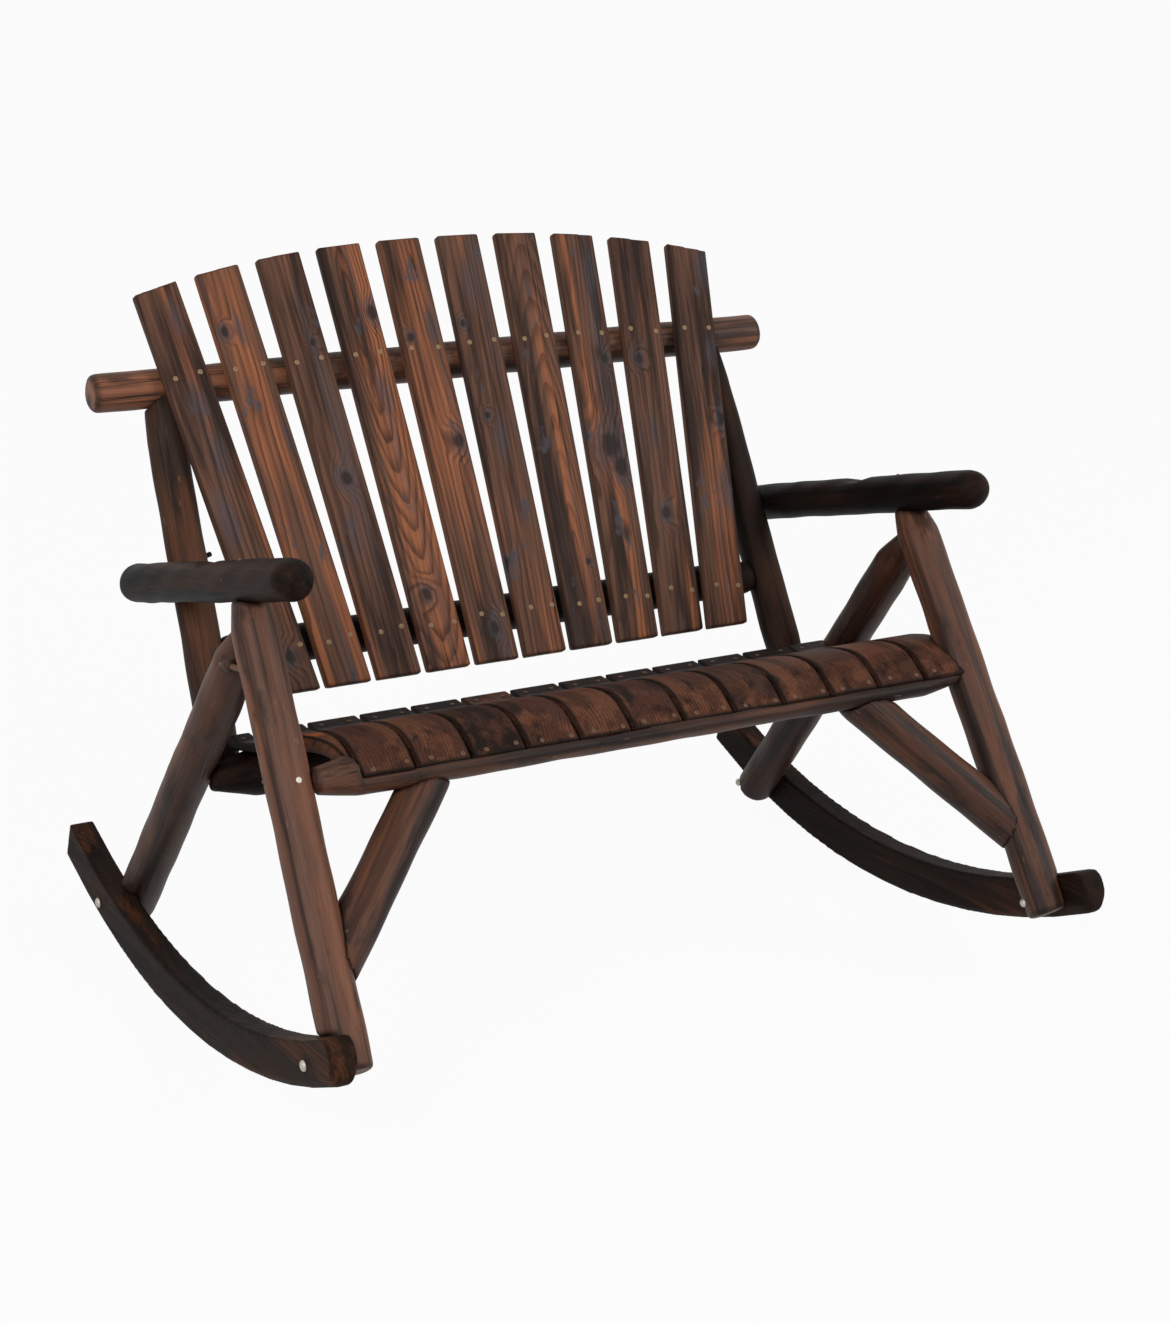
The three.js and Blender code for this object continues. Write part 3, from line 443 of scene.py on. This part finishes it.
def log_wood(name, dark, middle, warm, scuffed, roughness, gloss):
    material = bpy.data.materials.new(name)
    material.use_nodes = True
    tree = material.node_tree
    shader = tree.nodes["Principled BSDF"]
    place = put(tree, "ShaderNodeTexCoord").outputs["Object"]
    seed = read(tree, "seed").outputs["Fac"]
    skin = put(tree, "ShaderNodeGroup", node_tree=log_skin)
    tree.links.new(place, skin.inputs["Place"])
    tree.links.new(seed, skin.inputs["Seed"])
    streak, fibre, tone, char, knots, cracks, scuffs = skin.outputs
    base = paint(tree, ramp(tree, streak, 0.38, 0.58), dark, middle)
    base = paint(tree, times(tree, ramp(tree, tone, 0.46, 0.62), 0.85), base, warm)
    base = paint(tree, times(tree, ramp(tree, streak, 0.52, 0.42), 0.5), base, dark)
    fibres = grey(tree, plus(tree, times(tree, fibre, 1.3), 0.35))
    base = paint(tree, 1.0, base, fibres, "MULTIPLY")
    base = paint(tree, times(tree, ramp(tree, char, 0.53, 0.66), 0.75), base, log_soot)
    base = paint(tree, times(tree, knots, 0.75), base, log_knot)
    base = paint(tree, times(tree, cracks, 0.85), base, log_crack)
    base = paint(tree, times(tree, scuffs, 0.6), base, scuffed)
    edge = fall(tree, read(tree, "edge").outputs["Fac"], 0.001, 0.010)
    base = paint(tree, times(tree, edge, 0.7), base, log_end_char)
    # The log's painted brightness: partly its own tone, partly painted light and shade.
    base = paint(tree, 1.0, base, grey(tree, read(tree, "light").outputs["Fac"]), "MULTIPLY")
    tree.links.new(base, shader.inputs["Base Color"])
    rough = plus(tree, times(tree, fibre, 0.25), roughness - 0.12)
    tree.links.new(rough, shader.inputs["Roughness"])
    relief = plus(tree, fibre, times(tree, knots, 0.8))
    relief = plus(tree, relief, times(tree, streak, 1.5))
    relief = minus(tree, relief, times(tree, cracks, 2.0))
    bump = put(tree, "ShaderNodeBump", {"Height": relief, "Strength": 0.6, "Distance": 0.0008})
    tree.links.new(bump.outputs[0], shader.inputs["Normal"])
    shader.inputs["Specular IOR Level"].default_value = gloss
    return material


# How often a wave goes round the log, and its length.
log_waves = ((1, 0.31), (2, 0.17), (3, 0.093))
wave_height = 0.0003
bump_count, bump_from_end, bump_length, bump_width = 3, 0.08, 0.022, 0.28
bump_heights = (0.0006, 0.0012)


def swell(piece, seed):
    """The gentle waves and low bumps that a peeled log keeps."""
    mesh = piece.data
    count = len(mesh.vertices)
    places = np.empty(count * 3)
    mesh.vertices.foreach_get("co", places)
    places = places.reshape(-1, 3)
    normals = np.empty(count * 3)
    mesh.vertex_normals.foreach_get("vector", normals)
    normals = normals.reshape(-1, 3)
    chance = np.random.default_rng(seed)
    angle = np.arctan2(places[:, 1], places[:, 0])
    lift = np.zeros(count)
    for turns, length in log_waves:
        phase = turns * angle + places[:, 2] * math.tau / length + chance.uniform(0, math.tau)
        lift += wave_height * np.sin(phase)
    low, high = places[:, 2].min(), places[:, 2].max()
    for _ in range(bump_count):
        middle = chance.uniform(low + bump_from_end, high - bump_from_end)
        beyond = (places[:, 2] - middle) / bump_length
        beside = np.sin((angle - chance.uniform(0, math.tau)) / 2) / bump_width
        lift += chance.uniform(*bump_heights) * np.exp(-beyond * beyond - beside * beside)
    places += normals * lift[:, None]
    mesh.vertices.foreach_set("co", places.ravel())
    mesh.update()


def turned(name, profile, sides):
    """A closed shape turned about Z from radius and height pairs, both ends on the axis."""
    shape = bmesh.new()
    rings = []
    turn = math.tau / sides
    for radius, height in profile:
        corners = range(sides) if radius else (0,)
        rings.append([
            shape.verts.new((radius * math.cos(i * turn), radius * math.sin(i * turn), height))
            for i in corners])
    for a, b in zip(rings, rings[1:]):
        for i in range(sides):
            j = (i + 1) % sides
            corners = [a[i % len(a)], a[j % len(a)], b[j % len(b)], b[i % len(b)]]
            shape.faces.new(list(dict.fromkeys(corners)))
    bmesh.ops.recalc_face_normals(shape, faces=shape.faces)
    mesh = bpy.data.meshes.new(name)
    shape.to_mesh(mesh)
    shape.free()
    return mesh


past_any_head = 0.012


def bolt_line(node):
    """A bolt's place: the middle of its head's outer face with Z into the wood, its head's radius,
    its length and where its nut starts and ends, if it has one."""
    points = np.array([v.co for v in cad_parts[node].data.vertices])
    middle = points.mean(0)
    axis = np.linalg.svd(points - middle)[2][0]
    along = (points - middle) @ axis
    off = np.linalg.norm(points - middle - np.outer(along, axis), axis=1)
    wide = off > 0.6 * off.max()
    if along.max() - along[wide].max() < along[wide].min() - along.min():
        axis, along = -axis, -along
    start = along.min()
    nut = along[wide & (along > start + past_any_head)] - start
    place = Vector(axis).to_track_quat("Z", "Y").to_matrix().to_4x4()
    place.translation = Vector(middle + start * axis)
    nut_span = (nut.min(), nut.max()) if len(nut) else None
    return place, off.max(), along.max() - start, nut_span


bolts = {node: bolt_line(node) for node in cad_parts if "bolt" in node}
# The sunk bolts, and the logs that they are plugged in.
lag_logs = {"front_rail_bolt": "front_leg", "arm_leg_bolt": "armrest", "leg_bolt": "rear_leg"}


plug_sides, plug_overlap = 32, 0.0016
plug_foot, plug_skirt, plug_above = 0.01, 0.003, 0.0002
skirt_end = 0.006
ray_start = 0.06
log_radius = 0.0285


def plug_over(place, head, log_node):
    """A plug over a sunk bolt, shaped to the log's surface around its bore, and how high it stands.
    Where a ray meets no wood, the rim is level with the head."""
    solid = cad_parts[log_node].data
    corners = [v.co for v in solid.vertices]
    faces = BVHTree.FromPolygons(corners, [tuple(f.vertices) for f in solid.polygons])
    inward = place.to_3x3() @ Vector((0, 0, 1))
    sides, radius = plug_sides, head + plug_overlap
    shape = bmesh.new()
    rims = []
    for i in range(sides):
        turn = math.tau * i / sides
        x, y = radius * math.cos(turn), radius * math.sin(turn)
        distance = faces.ray_cast(place @ Vector((x, y, -ray_start)), inward)[3]
        rims.append((x, y, (distance or ray_start) - ray_start))
    level = sum(z for _, _, z in rims) / sides - radius * radius / (4 * log_radius)
    top, bottom = shape.verts.new((0, 0, level)), shape.verts.new((0, 0, plug_foot))
    upper = [shape.verts.new((x, y, z + plug_above)) for x, y, z in rims]
    lower = [shape.verts.new((x, y, max(skirt_end, z + plug_skirt))) for x, y, z in rims]
    for i in range(sides):
        j = (i + 1) % sides
        shape.faces.new((top, upper[i], upper[j]))
        shape.faces.new((upper[i], lower[i], lower[j], upper[j]))
        shape.faces.new((bottom, lower[j], lower[i]))
    shape.transform(place)
    plug = bpy.data.meshes.new("plug")
    shape.to_mesh(plug)
    shape.free()
    return plug, level


# Each plug is joined to its log, and each bolt's tip stands in its plug's top.
plugs, plug_tops = {}, {}
for kind, log_kind in lag_logs.items():
    for side in ("left", "right"):
        place, head, _, _ = bolts[f"{kind}_{side}"]
        plug, plug_tops[f"{kind}_{side}"] = plug_over(place, head, f"{log_kind}_{side}")
        plugs.setdefault(f"{log_kind}_{side}", []).append(plug)
brown_log = log_wood(
    "brown log", dark=srgb(40, 28, 24), middle=srgb(92, 62, 49), warm=srgb(114, 72, 51),
    scuffed=srgb(168, 114, 82), roughness=0.5, gloss=0.16)
dark_log = log_wood(
    "dark log", dark=srgb(13, 10, 9), middle=srgb(37, 26, 21), warm=srgb(60, 37, 26),
    scuffed=srgb(88, 62, 47), roughness=0.55, gloss=0.06)
# How bright each log is painted, as a multiple of its finish: partly its own tone and partly painted
# light and shade, lighter where light falls and darker in shade, so twin logs differ.
brown_logs = {
    "top_rail": 1.45, "seat_front_rail": 0.85, "front_leg_left": 1.05, "front_leg_right": 0.85,
    "rear_leg_left": 0.5, "rear_leg_right": 0.4, "knee_brace_left": 0.65, "knee_brace_right": 0.6,
}
dark_logs = {
    "seat_rear_rail": 0.6, "lower_back_rail": 0.7, "armrest_left": 0.6, "armrest_right": 0.4,
    "back_post_left": 2.2, "back_post_right": 0.8,
}
log_cell, log_smoothing = 0.0035, 8
for number, (node, light) in enumerate({**brown_logs, **dark_logs}.items()):
    log = worked_piece(node, log_cell, log_smoothing, number * 1.7, plugs=plugs.get(node, ()))
    swell(log, number + 5)
    # The painted brightness, partly tone and partly painted light and shade.
    store(log.data, "light", np.full(len(log.data.vertices), light))
    if node in brown_logs:
        fix(log, node, brown_log)
    else:
        fix(log, node, dark_log)


# The ten back slats are thin brushed boards, screwed to the two back rails in a fan. Each is sawn
# from another board, so its rings, streaks and knots are its own.

back_wood = sawn_wood(
    "back slat wood", dark=srgb(42, 29, 24), middle=srgb(98, 68, 54), warm=srgb(142, 88, 60),
    smoke=srgb(70, 67, 72), haze=0.62,
    ring_width=0.0052, contrast=0.8, burnt=0.60,
    edge_width=0.004, edge_share=0.35, roughness=0.6, gloss=0.1)
back_front = (0.0, -0.9, 0.4)
# By slat: the pith, how light it is, its knots and its bruised spots.
back_boards = {
    1: ((0.030, -0.050, 0.030), 0.00, [(-0.005, -0.260, 0.009)],
        [(-0.014, 0.26, 0.012), (-0.006, 0.13, 0.012), (-0.002, 0.05, 0.013), (0.012, -0.05, 0.016)]),
    2: ((0.045, -0.070, 0.020), 0.02, [(0.020, 0.226, 0.007)],
        [(-0.006, 0.222, 0.009), (-0.028, 0.05, 0.012)]),
    3: ((0.050, -0.060, 0.015), 0.00, [(-0.014, 0.187, 0.006), (-0.005, -0.024, 0.010)],
        [(0.010, -0.11, 0.013)]),
    4: ((0.004, -0.020, 0.120), 0.02, [(-0.024, 0.221, 0.010), (0.006, -0.215, 0.009)],
        [(-0.012, 0.10, 0.013)]),
    5: ((-0.050, -0.050, 0.020), 0.03,
        [(0.018, 0.176, 0.006), (-0.020, 0.009, 0.010), (-0.006, -0.282, 0.009)],
        [(-0.018, 0.19, 0.010), (-0.01, -0.28, 0.016)]),
    6: ((0.045, -0.050, 0.030), -0.01, [(0.023, 0.190, 0.005), (0.015, 0.043, 0.005)],
        [(-0.005, 0.26, 0.014), (-0.003, 0.005, 0.013)]),
    7: ((-0.002, -0.014, -0.110), -0.01, [(-0.018, -0.20, 0.005)], [(-0.005, 0.24, 0.007)]),
    8: ((0.030, -0.035, 0.040), 0.00,
        [(-0.020, 0.122, 0.007), (-0.004, -0.019, 0.018), (-0.018, -0.055, 0.013)],
        [(-0.020, 0.265, 0.015), (-0.01, -0.03, 0.020)]),
    9: ((0.050, -0.070, 0.015), -0.02, [(0.015, 0.121, 0.008), (0.004, -0.130, 0.009)],
        [(0.004, 0.0, 0.010)]),
    10: ((-0.045, -0.060, 0.030), -0.02, [(-0.028, 0.026, 0.009)],
         [(-0.025, 0.27, 0.014), (-0.021, 0.135, 0.012), (-0.024, -0.093, 0.012)]),
}
back_cell, back_smoothing = 0.003, 1
back_slats = []
for number, (pith, light, knots, bruises) in back_boards.items():
    node = f"back_slat_{number}"
    slat = worked_piece(node, back_cell, back_smoothing, number * 2.3, back_front)
    grow_rings(slat, pith, knots, bruises, light)
    fix(slat, node, back_wood)
    back_slats.append(slat)


# The seat is of eleven curved slats and a narrow one at each end, sawn from deep board so that the
# straight grain runs out over the curve. They are darker and redder than the back, and planed level
# at the rear.

seat_wood = sawn_wood(
    "seat slat wood", dark=srgb(26, 16, 12), middle=srgb(72, 44, 33), warm=srgb(96, 60, 43),
    smoke=srgb(56, 47, 44), haze=0.42,
    ring_width=0.005, contrast=0.75, burnt=0.71,
    # The seat's large edge share paints shade into the gaps between its slats.
    edge_width=0.006, edge_share=0.6, roughness=0.6, gloss=0.08)
seat_nodes = ["end_slat_left", *[f"seat_slat_{i}" for i in range(1, 12)], "end_slat_right"]
# By slat from the left: how light it is, and how much darker its rear end is.
seat_lights = (0.04, 0.04, 0.03, -0.08, 0.03, 0.06, 0.01, 0.04, 0.00, 0.05, 0.02, 0.04, 0.06)
seat_rear_darkenings = (0.30, 0.28, 0.25, 0.30, 0.28, 0.08, 0.30, 0.22, 0.30, 0.26, 0.30, 0.22, 0.15)
# The seat's top from the front to the rear, as Y and Z, and how much is planed off it at each Y.
seat_top = np.array((
    (-0.2472, 0.4413), (-0.2354, 0.4493), (-0.2186, 0.4599), (-0.2021, 0.4671), (-0.1872, 0.4700),
    (-0.1714, 0.4702), (-0.1531, 0.4680), (-0.1330, 0.4635), (-0.1095, 0.4564), (-0.0799, 0.4458),
    (-0.0449, 0.4315), (-0.0064, 0.4163), (0.0382, 0.4011), (0.0878, 0.3852), (0.1232, 0.3741)))
planed = np.array((
    (-0.10, 0.0), (-0.06, 0.003), (-0.02, 0.006), (0.02, 0.008), (0.06, 0.010), (0.09, 0.010),
    (0.1232, 0.0)))
planed_layer = 0.016
seat_up, seat_along_x = (0.0, -0.3, 1.0), (1.0, 0.0, 0.0)
seat_cell, seat_smoothing = 0.0026, 2
# The slats darken from this Y over this distance, and one place on the left is worn bare.
dark_from, dark_over = -0.02, 0.05
worn_place, worn_size = (-0.47, -0.14, 0.468), 0.022
seat_slats = {}
for number, (node, light, darker_rear) in enumerate(zip(seat_nodes, seat_lights, seat_rear_darkenings)):
    slat = worked_piece(node, seat_cell, seat_smoothing, number * 1.9 + 0.4, seat_up, seat_along_x)
    points = np.array([slat.matrix_world @ v.co for v in slat.data.vertices])
    below = np.interp(points[:, 1], *seat_top.T) - points[:, 2]
    share = np.clip(1.0 - below / planed_layer, 0.0, 1.0)
    points[:, 2] -= np.interp(points[:, 1], *planed.T) * share
    to_own = slat.matrix_world.inverted()
    moved = np.array([to_own @ Vector(p) for p in points])
    slat.data.vertices.foreach_set("co", moved.ravel())
    seat_slats[node] = slat
    # Each slat is painted darker towards its rear.
    rear = np.clip((points[:, 1] - dark_from) / dark_over, 0.0, 1.0)
    worn = np.exp(-(((points - worn_place) / worn_size) ** 2).sum(1))
    side_shift = 0.16 * (1 if math.sin(number * 2.7) > 0 else -1)
    pith = (side_shift * (1 + 0.5 * math.cos(number)), -0.02, 0.06 * math.cos(number * 3.1))
    knots = [(0.02 * math.cos(number * 1.3), 0.05, 0.004)]
    grow_rings(slat, pith, knots, light=light - darker_rear * rear + 0.5 * worn)
    fix(slat, node, seat_wood)


# The slats are screwed down with small brass-coloured screws with cross recesses. A brighter one
# sits in the left front leg beside the seat, and a tiny one in the left armrest.

def metal(name, colour, stained, roughness, metallic):
    material = bpy.data.materials.new(name)
    material.use_nodes = True
    tree = material.node_tree
    shader = tree.nodes["Principled BSDF"]
    place = put(tree, "ShaderNodeTexCoord").outputs["Object"]
    fine_spots = {"Vector": place, "Scale": 900.0, "Detail": 4.0}
    spots = put(tree, "ShaderNodeTexNoise", fine_spots).outputs["Fac"]
    stain = times(tree, ramp(tree, spots, 0.5, 0.75), 0.5)
    tree.links.new(paint(tree, stain, colour, stained), shader.inputs["Base Color"])
    rough = plus(tree, times(tree, spots, 0.3), roughness)
    tree.links.new(rough, shader.inputs["Roughness"])
    bump = put(tree, "ShaderNodeBump", {"Height": spots, "Strength": 0.2, "Distance": 0.0002})
    tree.links.new(bump.outputs[0], shader.inputs["Normal"])
    shader.inputs["Metallic"].default_value = metallic
    return material


def add_screw(shape, place, radius):
    """A low domed head with a cross recess and the top of its shank, at a place with Z out of the
    wood."""
    rings, sides = 9, 32
    arm, reach, pit = 0.10 * radius, 0.55 * radius, 0.30 * radius
    grid = []
    for i in range(rings + 1):
        r = radius * i / rings
        row = []
        for j in range(sides):
            a = math.tau * j / sides
            x, y = r * math.cos(a), r * math.sin(a)
            height = 0.30 * radius * (1 - (i / rings) ** 2) + 0.0002
            in_cross = r < reach and min(abs(x), abs(y)) < arm + 0.0001
            row.append(shape.verts.new(place @ Vector((x, y, height - (pit if in_cross else 0.0)))))
        grid.append(row)
    shank, depth = 0.45 * radius, -0.008
    turns = [math.tau * j / sides for j in range(sides)]
    grid.append([shape.verts.new(place @ Vector((shank * math.cos(a), shank * math.sin(a), depth)))
                 for a in turns])
    for a, b in zip(grid, grid[1:]):
        for j in range(sides):
            k = (j + 1) % sides
            shape.faces.new((a[j], b[j], b[k], a[k]))
    shape.faces.new(reversed(grid[-1]))


def screws(name, places, radius, material):
    shape = bmesh.new()
    for place in places:
        add_screw(shape, place, radius)
    bmesh.ops.remove_doubles(shape, verts=shape.verts, dist=0.000001)
    bmesh.ops.recalc_face_normals(shape, faces=shape.faces)
    mesh = bpy.data.meshes.new(name)
    shape.to_mesh(mesh)
    shape.free()
    made = bpy.data.objects.new(name, mesh)
    bpy.context.scene.collection.objects.link(made)
    mesh.shade_smooth()
    mesh.materials.append(material)
    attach(made, "root")


def on_surface(solid, start, direction):
    """Where a line meets a solid, as a place with Z out of the wood."""
    points = [solid.matrix_world @ v.co for v in solid.data.vertices]
    faces = BVHTree.FromPolygons(points, [tuple(f.vertices) for f in solid.data.polygons])
    point, normal, _, _ = faces.ray_cast(start, direction)
    if point is None:
        return None
    turn = Matrix.Rotation(chance.uniform(0, 1.5), 4, "Z")
    place = normal.to_track_quat("Z", "Y").to_matrix().to_4x4() @ turn
    place.translation = point
    return place


chance = np.random.default_rng(11)
brass = metal("brass", srgb(138, 112, 82), srgb(84, 66, 50), 0.45, 0.35)
dull_brass = metal("dull brass", srgb(96, 70, 52), srgb(60, 42, 32), 0.55, 0.2)
screw_radius = 0.0039
seat_screw_radius = 0.0034
toe_screw_radius = 0.0042
armrest_screw_radius = 0.0024
aside_play, height_play = 0.002, 0.003
# Above a back slat's foot, and across it.
back_screw_rows = {0.071: (-0.012, 0.024), 0.492: (-0.020, 0.022)}
places = []
for number, slat in enumerate(back_slats, 1):
    low = min(v.co.z for v in slat.data.vertices)
    for height, offsets in back_screw_rows.items():
        for offset in offsets:
            aside = -offset + chance.uniform(-aside_play, aside_play)
            up = low + height + chance.uniform(-height_play, height_play)
            start = slat.matrix_world @ Vector((aside, 0.1, up))
            inward = slat.matrix_world.to_3x3() @ Vector((0, -1, 0))
            places.append(on_surface(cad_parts[f"back_slat_{number}"], start, inward))
screws("back_slat_screws", places, screw_radius, brass)
places = []
narrow_slat = 0.07
rear_screws = (0.020, (-0.021, 0.021))
front_screws = (0.008, (-0.019, 0.027))
for node in seat_nodes:
    low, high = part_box(node)
    narrow = high[0] - low[0] < narrow_slat
    rows = ((high[1] - rear_screws[0], rear_screws[1]), (low[1] + front_screws[0], front_screws[1]))
    for y, offsets in rows:
        for offset in (0.0,) if narrow else offsets:
            x = (low[0] + high[0]) / 2 + offset + chance.uniform(-aside_play, aside_play)
            start = Vector((x, y + chance.uniform(-aside_play, aside_play), 1.0))
            places.append(on_surface(seat_slats[node], start, Vector((0, 0, -1))))
screws("seat_slat_screws", [place for place in places if place], seat_screw_radius, dull_brass)
bright_zinc = metal("bright zinc", srgb(214, 208, 196), srgb(150, 132, 110), 0.35, 0.4)
toe_place, toe_outward = Vector((-0.53493, -0.24506, 0.45046)), Vector((0.161, -0.799, 0.580))
start = toe_place + 0.02 * toe_outward
places = [on_surface(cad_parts["front_leg_left"], start, -toe_outward)]
screws("toe_screw", places, toe_screw_radius, bright_zinc)
start = Vector((-0.60, -0.043, 0.6614))
places = [on_surface(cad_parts["armrest_left"], start, Vector((1, 0, 0)))]
screws("armrest_screw", places, armrest_screw_radius, dull_brass)


# The bolts. Those of the rockers are zinc plated, with low domed heads outside and nuts inside. The
# bolts of the posts have dark heads with a stud. Of the lag bolts in the log joints, those that
# show are sunk and plugged, so that only a small dull tip shows, and the rest have plain dark heads.

zinc_plate = metal("zinc plate", srgb(186, 180, 168), srgb(120, 98, 74), 0.35, 0.6)
dark_steel = metal("dark steel", srgb(40, 38, 36), srgb(62, 44, 32), 0.4, 0.7)
dull_tip = metal("dull tip", srgb(98, 72, 56), srgb(58, 42, 34), 0.6, 0.1)
shaft, bolt_sides = 0.004, 36
# Each shape is pairs of a radius and a height below the head's outer face.
for node, (place, head, length, nut) in bolts.items():
    kind = node.rsplit("_", 1)[0]
    material = zinc_plate
    if nut:
        start, end = nut
        face = 0.8 * head
        profile = [
            (0, -0.0004), (head * 0.35, -0.0002), (head * 0.7, 0.0008), (head * 0.93, 0.0023),
            (head, 0.0038), (head, 0.005), (shaft, 0.005), (shaft, start), (face * 0.92, start),
            (face, start + 0.001), (face, end - 0.001), (face * 0.92, end), (shaft, end),
            (shaft, length - 0.0006), (shaft * 0.8, length), (0, length)]
    elif kind in lag_logs:
        material = dull_tip
        top = plug_tops[node]
        profile = [
            (0, top - 0.0012), (0.0016, top - 0.0010), (0.0024, top - 0.0002), (0.0024, 0.004),
            (shaft, 0.006), (shaft, length), (0, length)]
    elif kind in ("rear_rail_bolt", "top_rail_bolt"):
        material = dark_steel
        profile = [
            (0, -0.0008), (head * 0.5, -0.0002), (head * 0.9, 0.0012), (head, 0.0028),
            (head, 0.005), (shaft, 0.005), (shaft, length), (0, length)]
    else:
        material = dark_steel
        profile = [
            (0, -0.014), (0.0032, -0.014), (0.0038, -0.0132), (0.0038, -0.0005),
            (head * 0.8, -0.0005), (head, 0.0008), (head, 0.005), (shaft, 0.005), (shaft, length),
            (0, length)]
    bolt = bpy.data.objects.new(node + "_metal", turned(node + "_metal", profile, bolt_sides))
    bpy.context.scene.collection.objects.link(bolt)
    bolt.matrix_world = place
    bolt.data.shade_smooth()
    fix(bolt, node, material)


# Floor, light and camera. The floor is white where the camera sees it, apart from the shadow, and
# the light is a wide soft sky with two large lamps, at the front right and the front left.

def seen_directly(tree):
    """1 where the camera, a mirror or glass looks, and 0 for the light itself."""
    rays = put(tree, "ShaderNodeLightPath").outputs
    by_metal_or_glass = calc(tree, "MAXIMUM", rays["Is Glossy Ray"], rays["Is Transmission Ray"])
    return calc(tree, "MAXIMUM", rays["Is Camera Ray"], by_metal_or_glass)


floor_shape = bmesh.new()
bmesh.ops.create_grid(floor_shape, x_segments=1, y_segments=1, size=30.0)
floor_mesh = bpy.data.meshes.new("floor")
floor_shape.to_mesh(floor_mesh)
floor_shape.free()
floor = bpy.data.objects.new("floor", floor_mesh)
bpy.context.scene.collection.objects.link(floor)
paper = bpy.data.materials.new("pale paper")
paper.use_nodes = True
tree = paper.node_tree
tree.nodes.remove(tree.nodes["Principled BSDF"])
seen = seen_directly(tree)
mid_grey, white = (0.5, 0.5, 0.5, 1), (1, 1, 1, 1)
dull = put(tree, "ShaderNodeBsdfDiffuse", {"Color": mid_grey}).outputs[0]
bright = put(tree, "ShaderNodeEmission", {"Color": white, "Strength": 1.0}).outputs[0]
# The twentieth that stays dull keeps the shadow.
shares = {0: times(tree, seen, 0.95), 1: dull, 2: bright}
mixed = put(tree, "ShaderNodeMixShader", shares).outputs[0]
tree.links.new(mixed, tree.nodes["Material Output"].inputs["Surface"])
floor_mesh.materials.append(paper)

world = bpy.data.worlds.new("soft sky")
bpy.context.scene.world = world
world.use_nodes = True
tree = world.node_tree
seen = seen_directly(tree)
sky_light = 0.45
strength = plus(tree, times(tree, seen, 1.0 - sky_light), sky_light)
sky = tree.nodes["Background"]
sky.inputs["Color"].default_value = white
tree.links.new(strength, sky.inputs["Strength"])


def lamp(name, place, target, size, power):
    light = bpy.data.lights.new(name, "AREA")
    light.shape = "RECTANGLE"
    light.size, light.size_y = size
    light.energy = power
    made = bpy.data.objects.new(name, light)
    made.location = place
    made.rotation_mode = "QUATERNION"
    made.rotation_quaternion = (Vector(target) - Vector(place)).to_track_quat("-Z", "Y")
    bpy.context.scene.collection.objects.link(made)


bench_middle, lamp_size, lamp_power = (0, 0, 0.5), (1.6, 1.6), 80
lamp("right lamp", (2.6, -2.8, 2.6), bench_middle, lamp_size, lamp_power)
lamp("left lamp", (-3.0, -2.0, 2.6), bench_middle, lamp_size, lamp_power)

camera_data = bpy.data.cameras.new("camera")
camera = bpy.data.objects.new("camera", camera_data)
bpy.context.scene.collection.objects.link(camera)
bpy.context.scene.camera = camera
camera_data.lens = 73.183
camera_data.shift_x = 0.00078
camera_data.shift_y = -0.02578
camera_data.clip_end = 100
camera.location = (-1.80394, -3.18100, 1.75157)
camera.rotation_euler = [math.radians(a) for a in (71.1715, -1.7613, -29.1791)]

bpy.context.scene.view_settings.view_transform = "Standard"
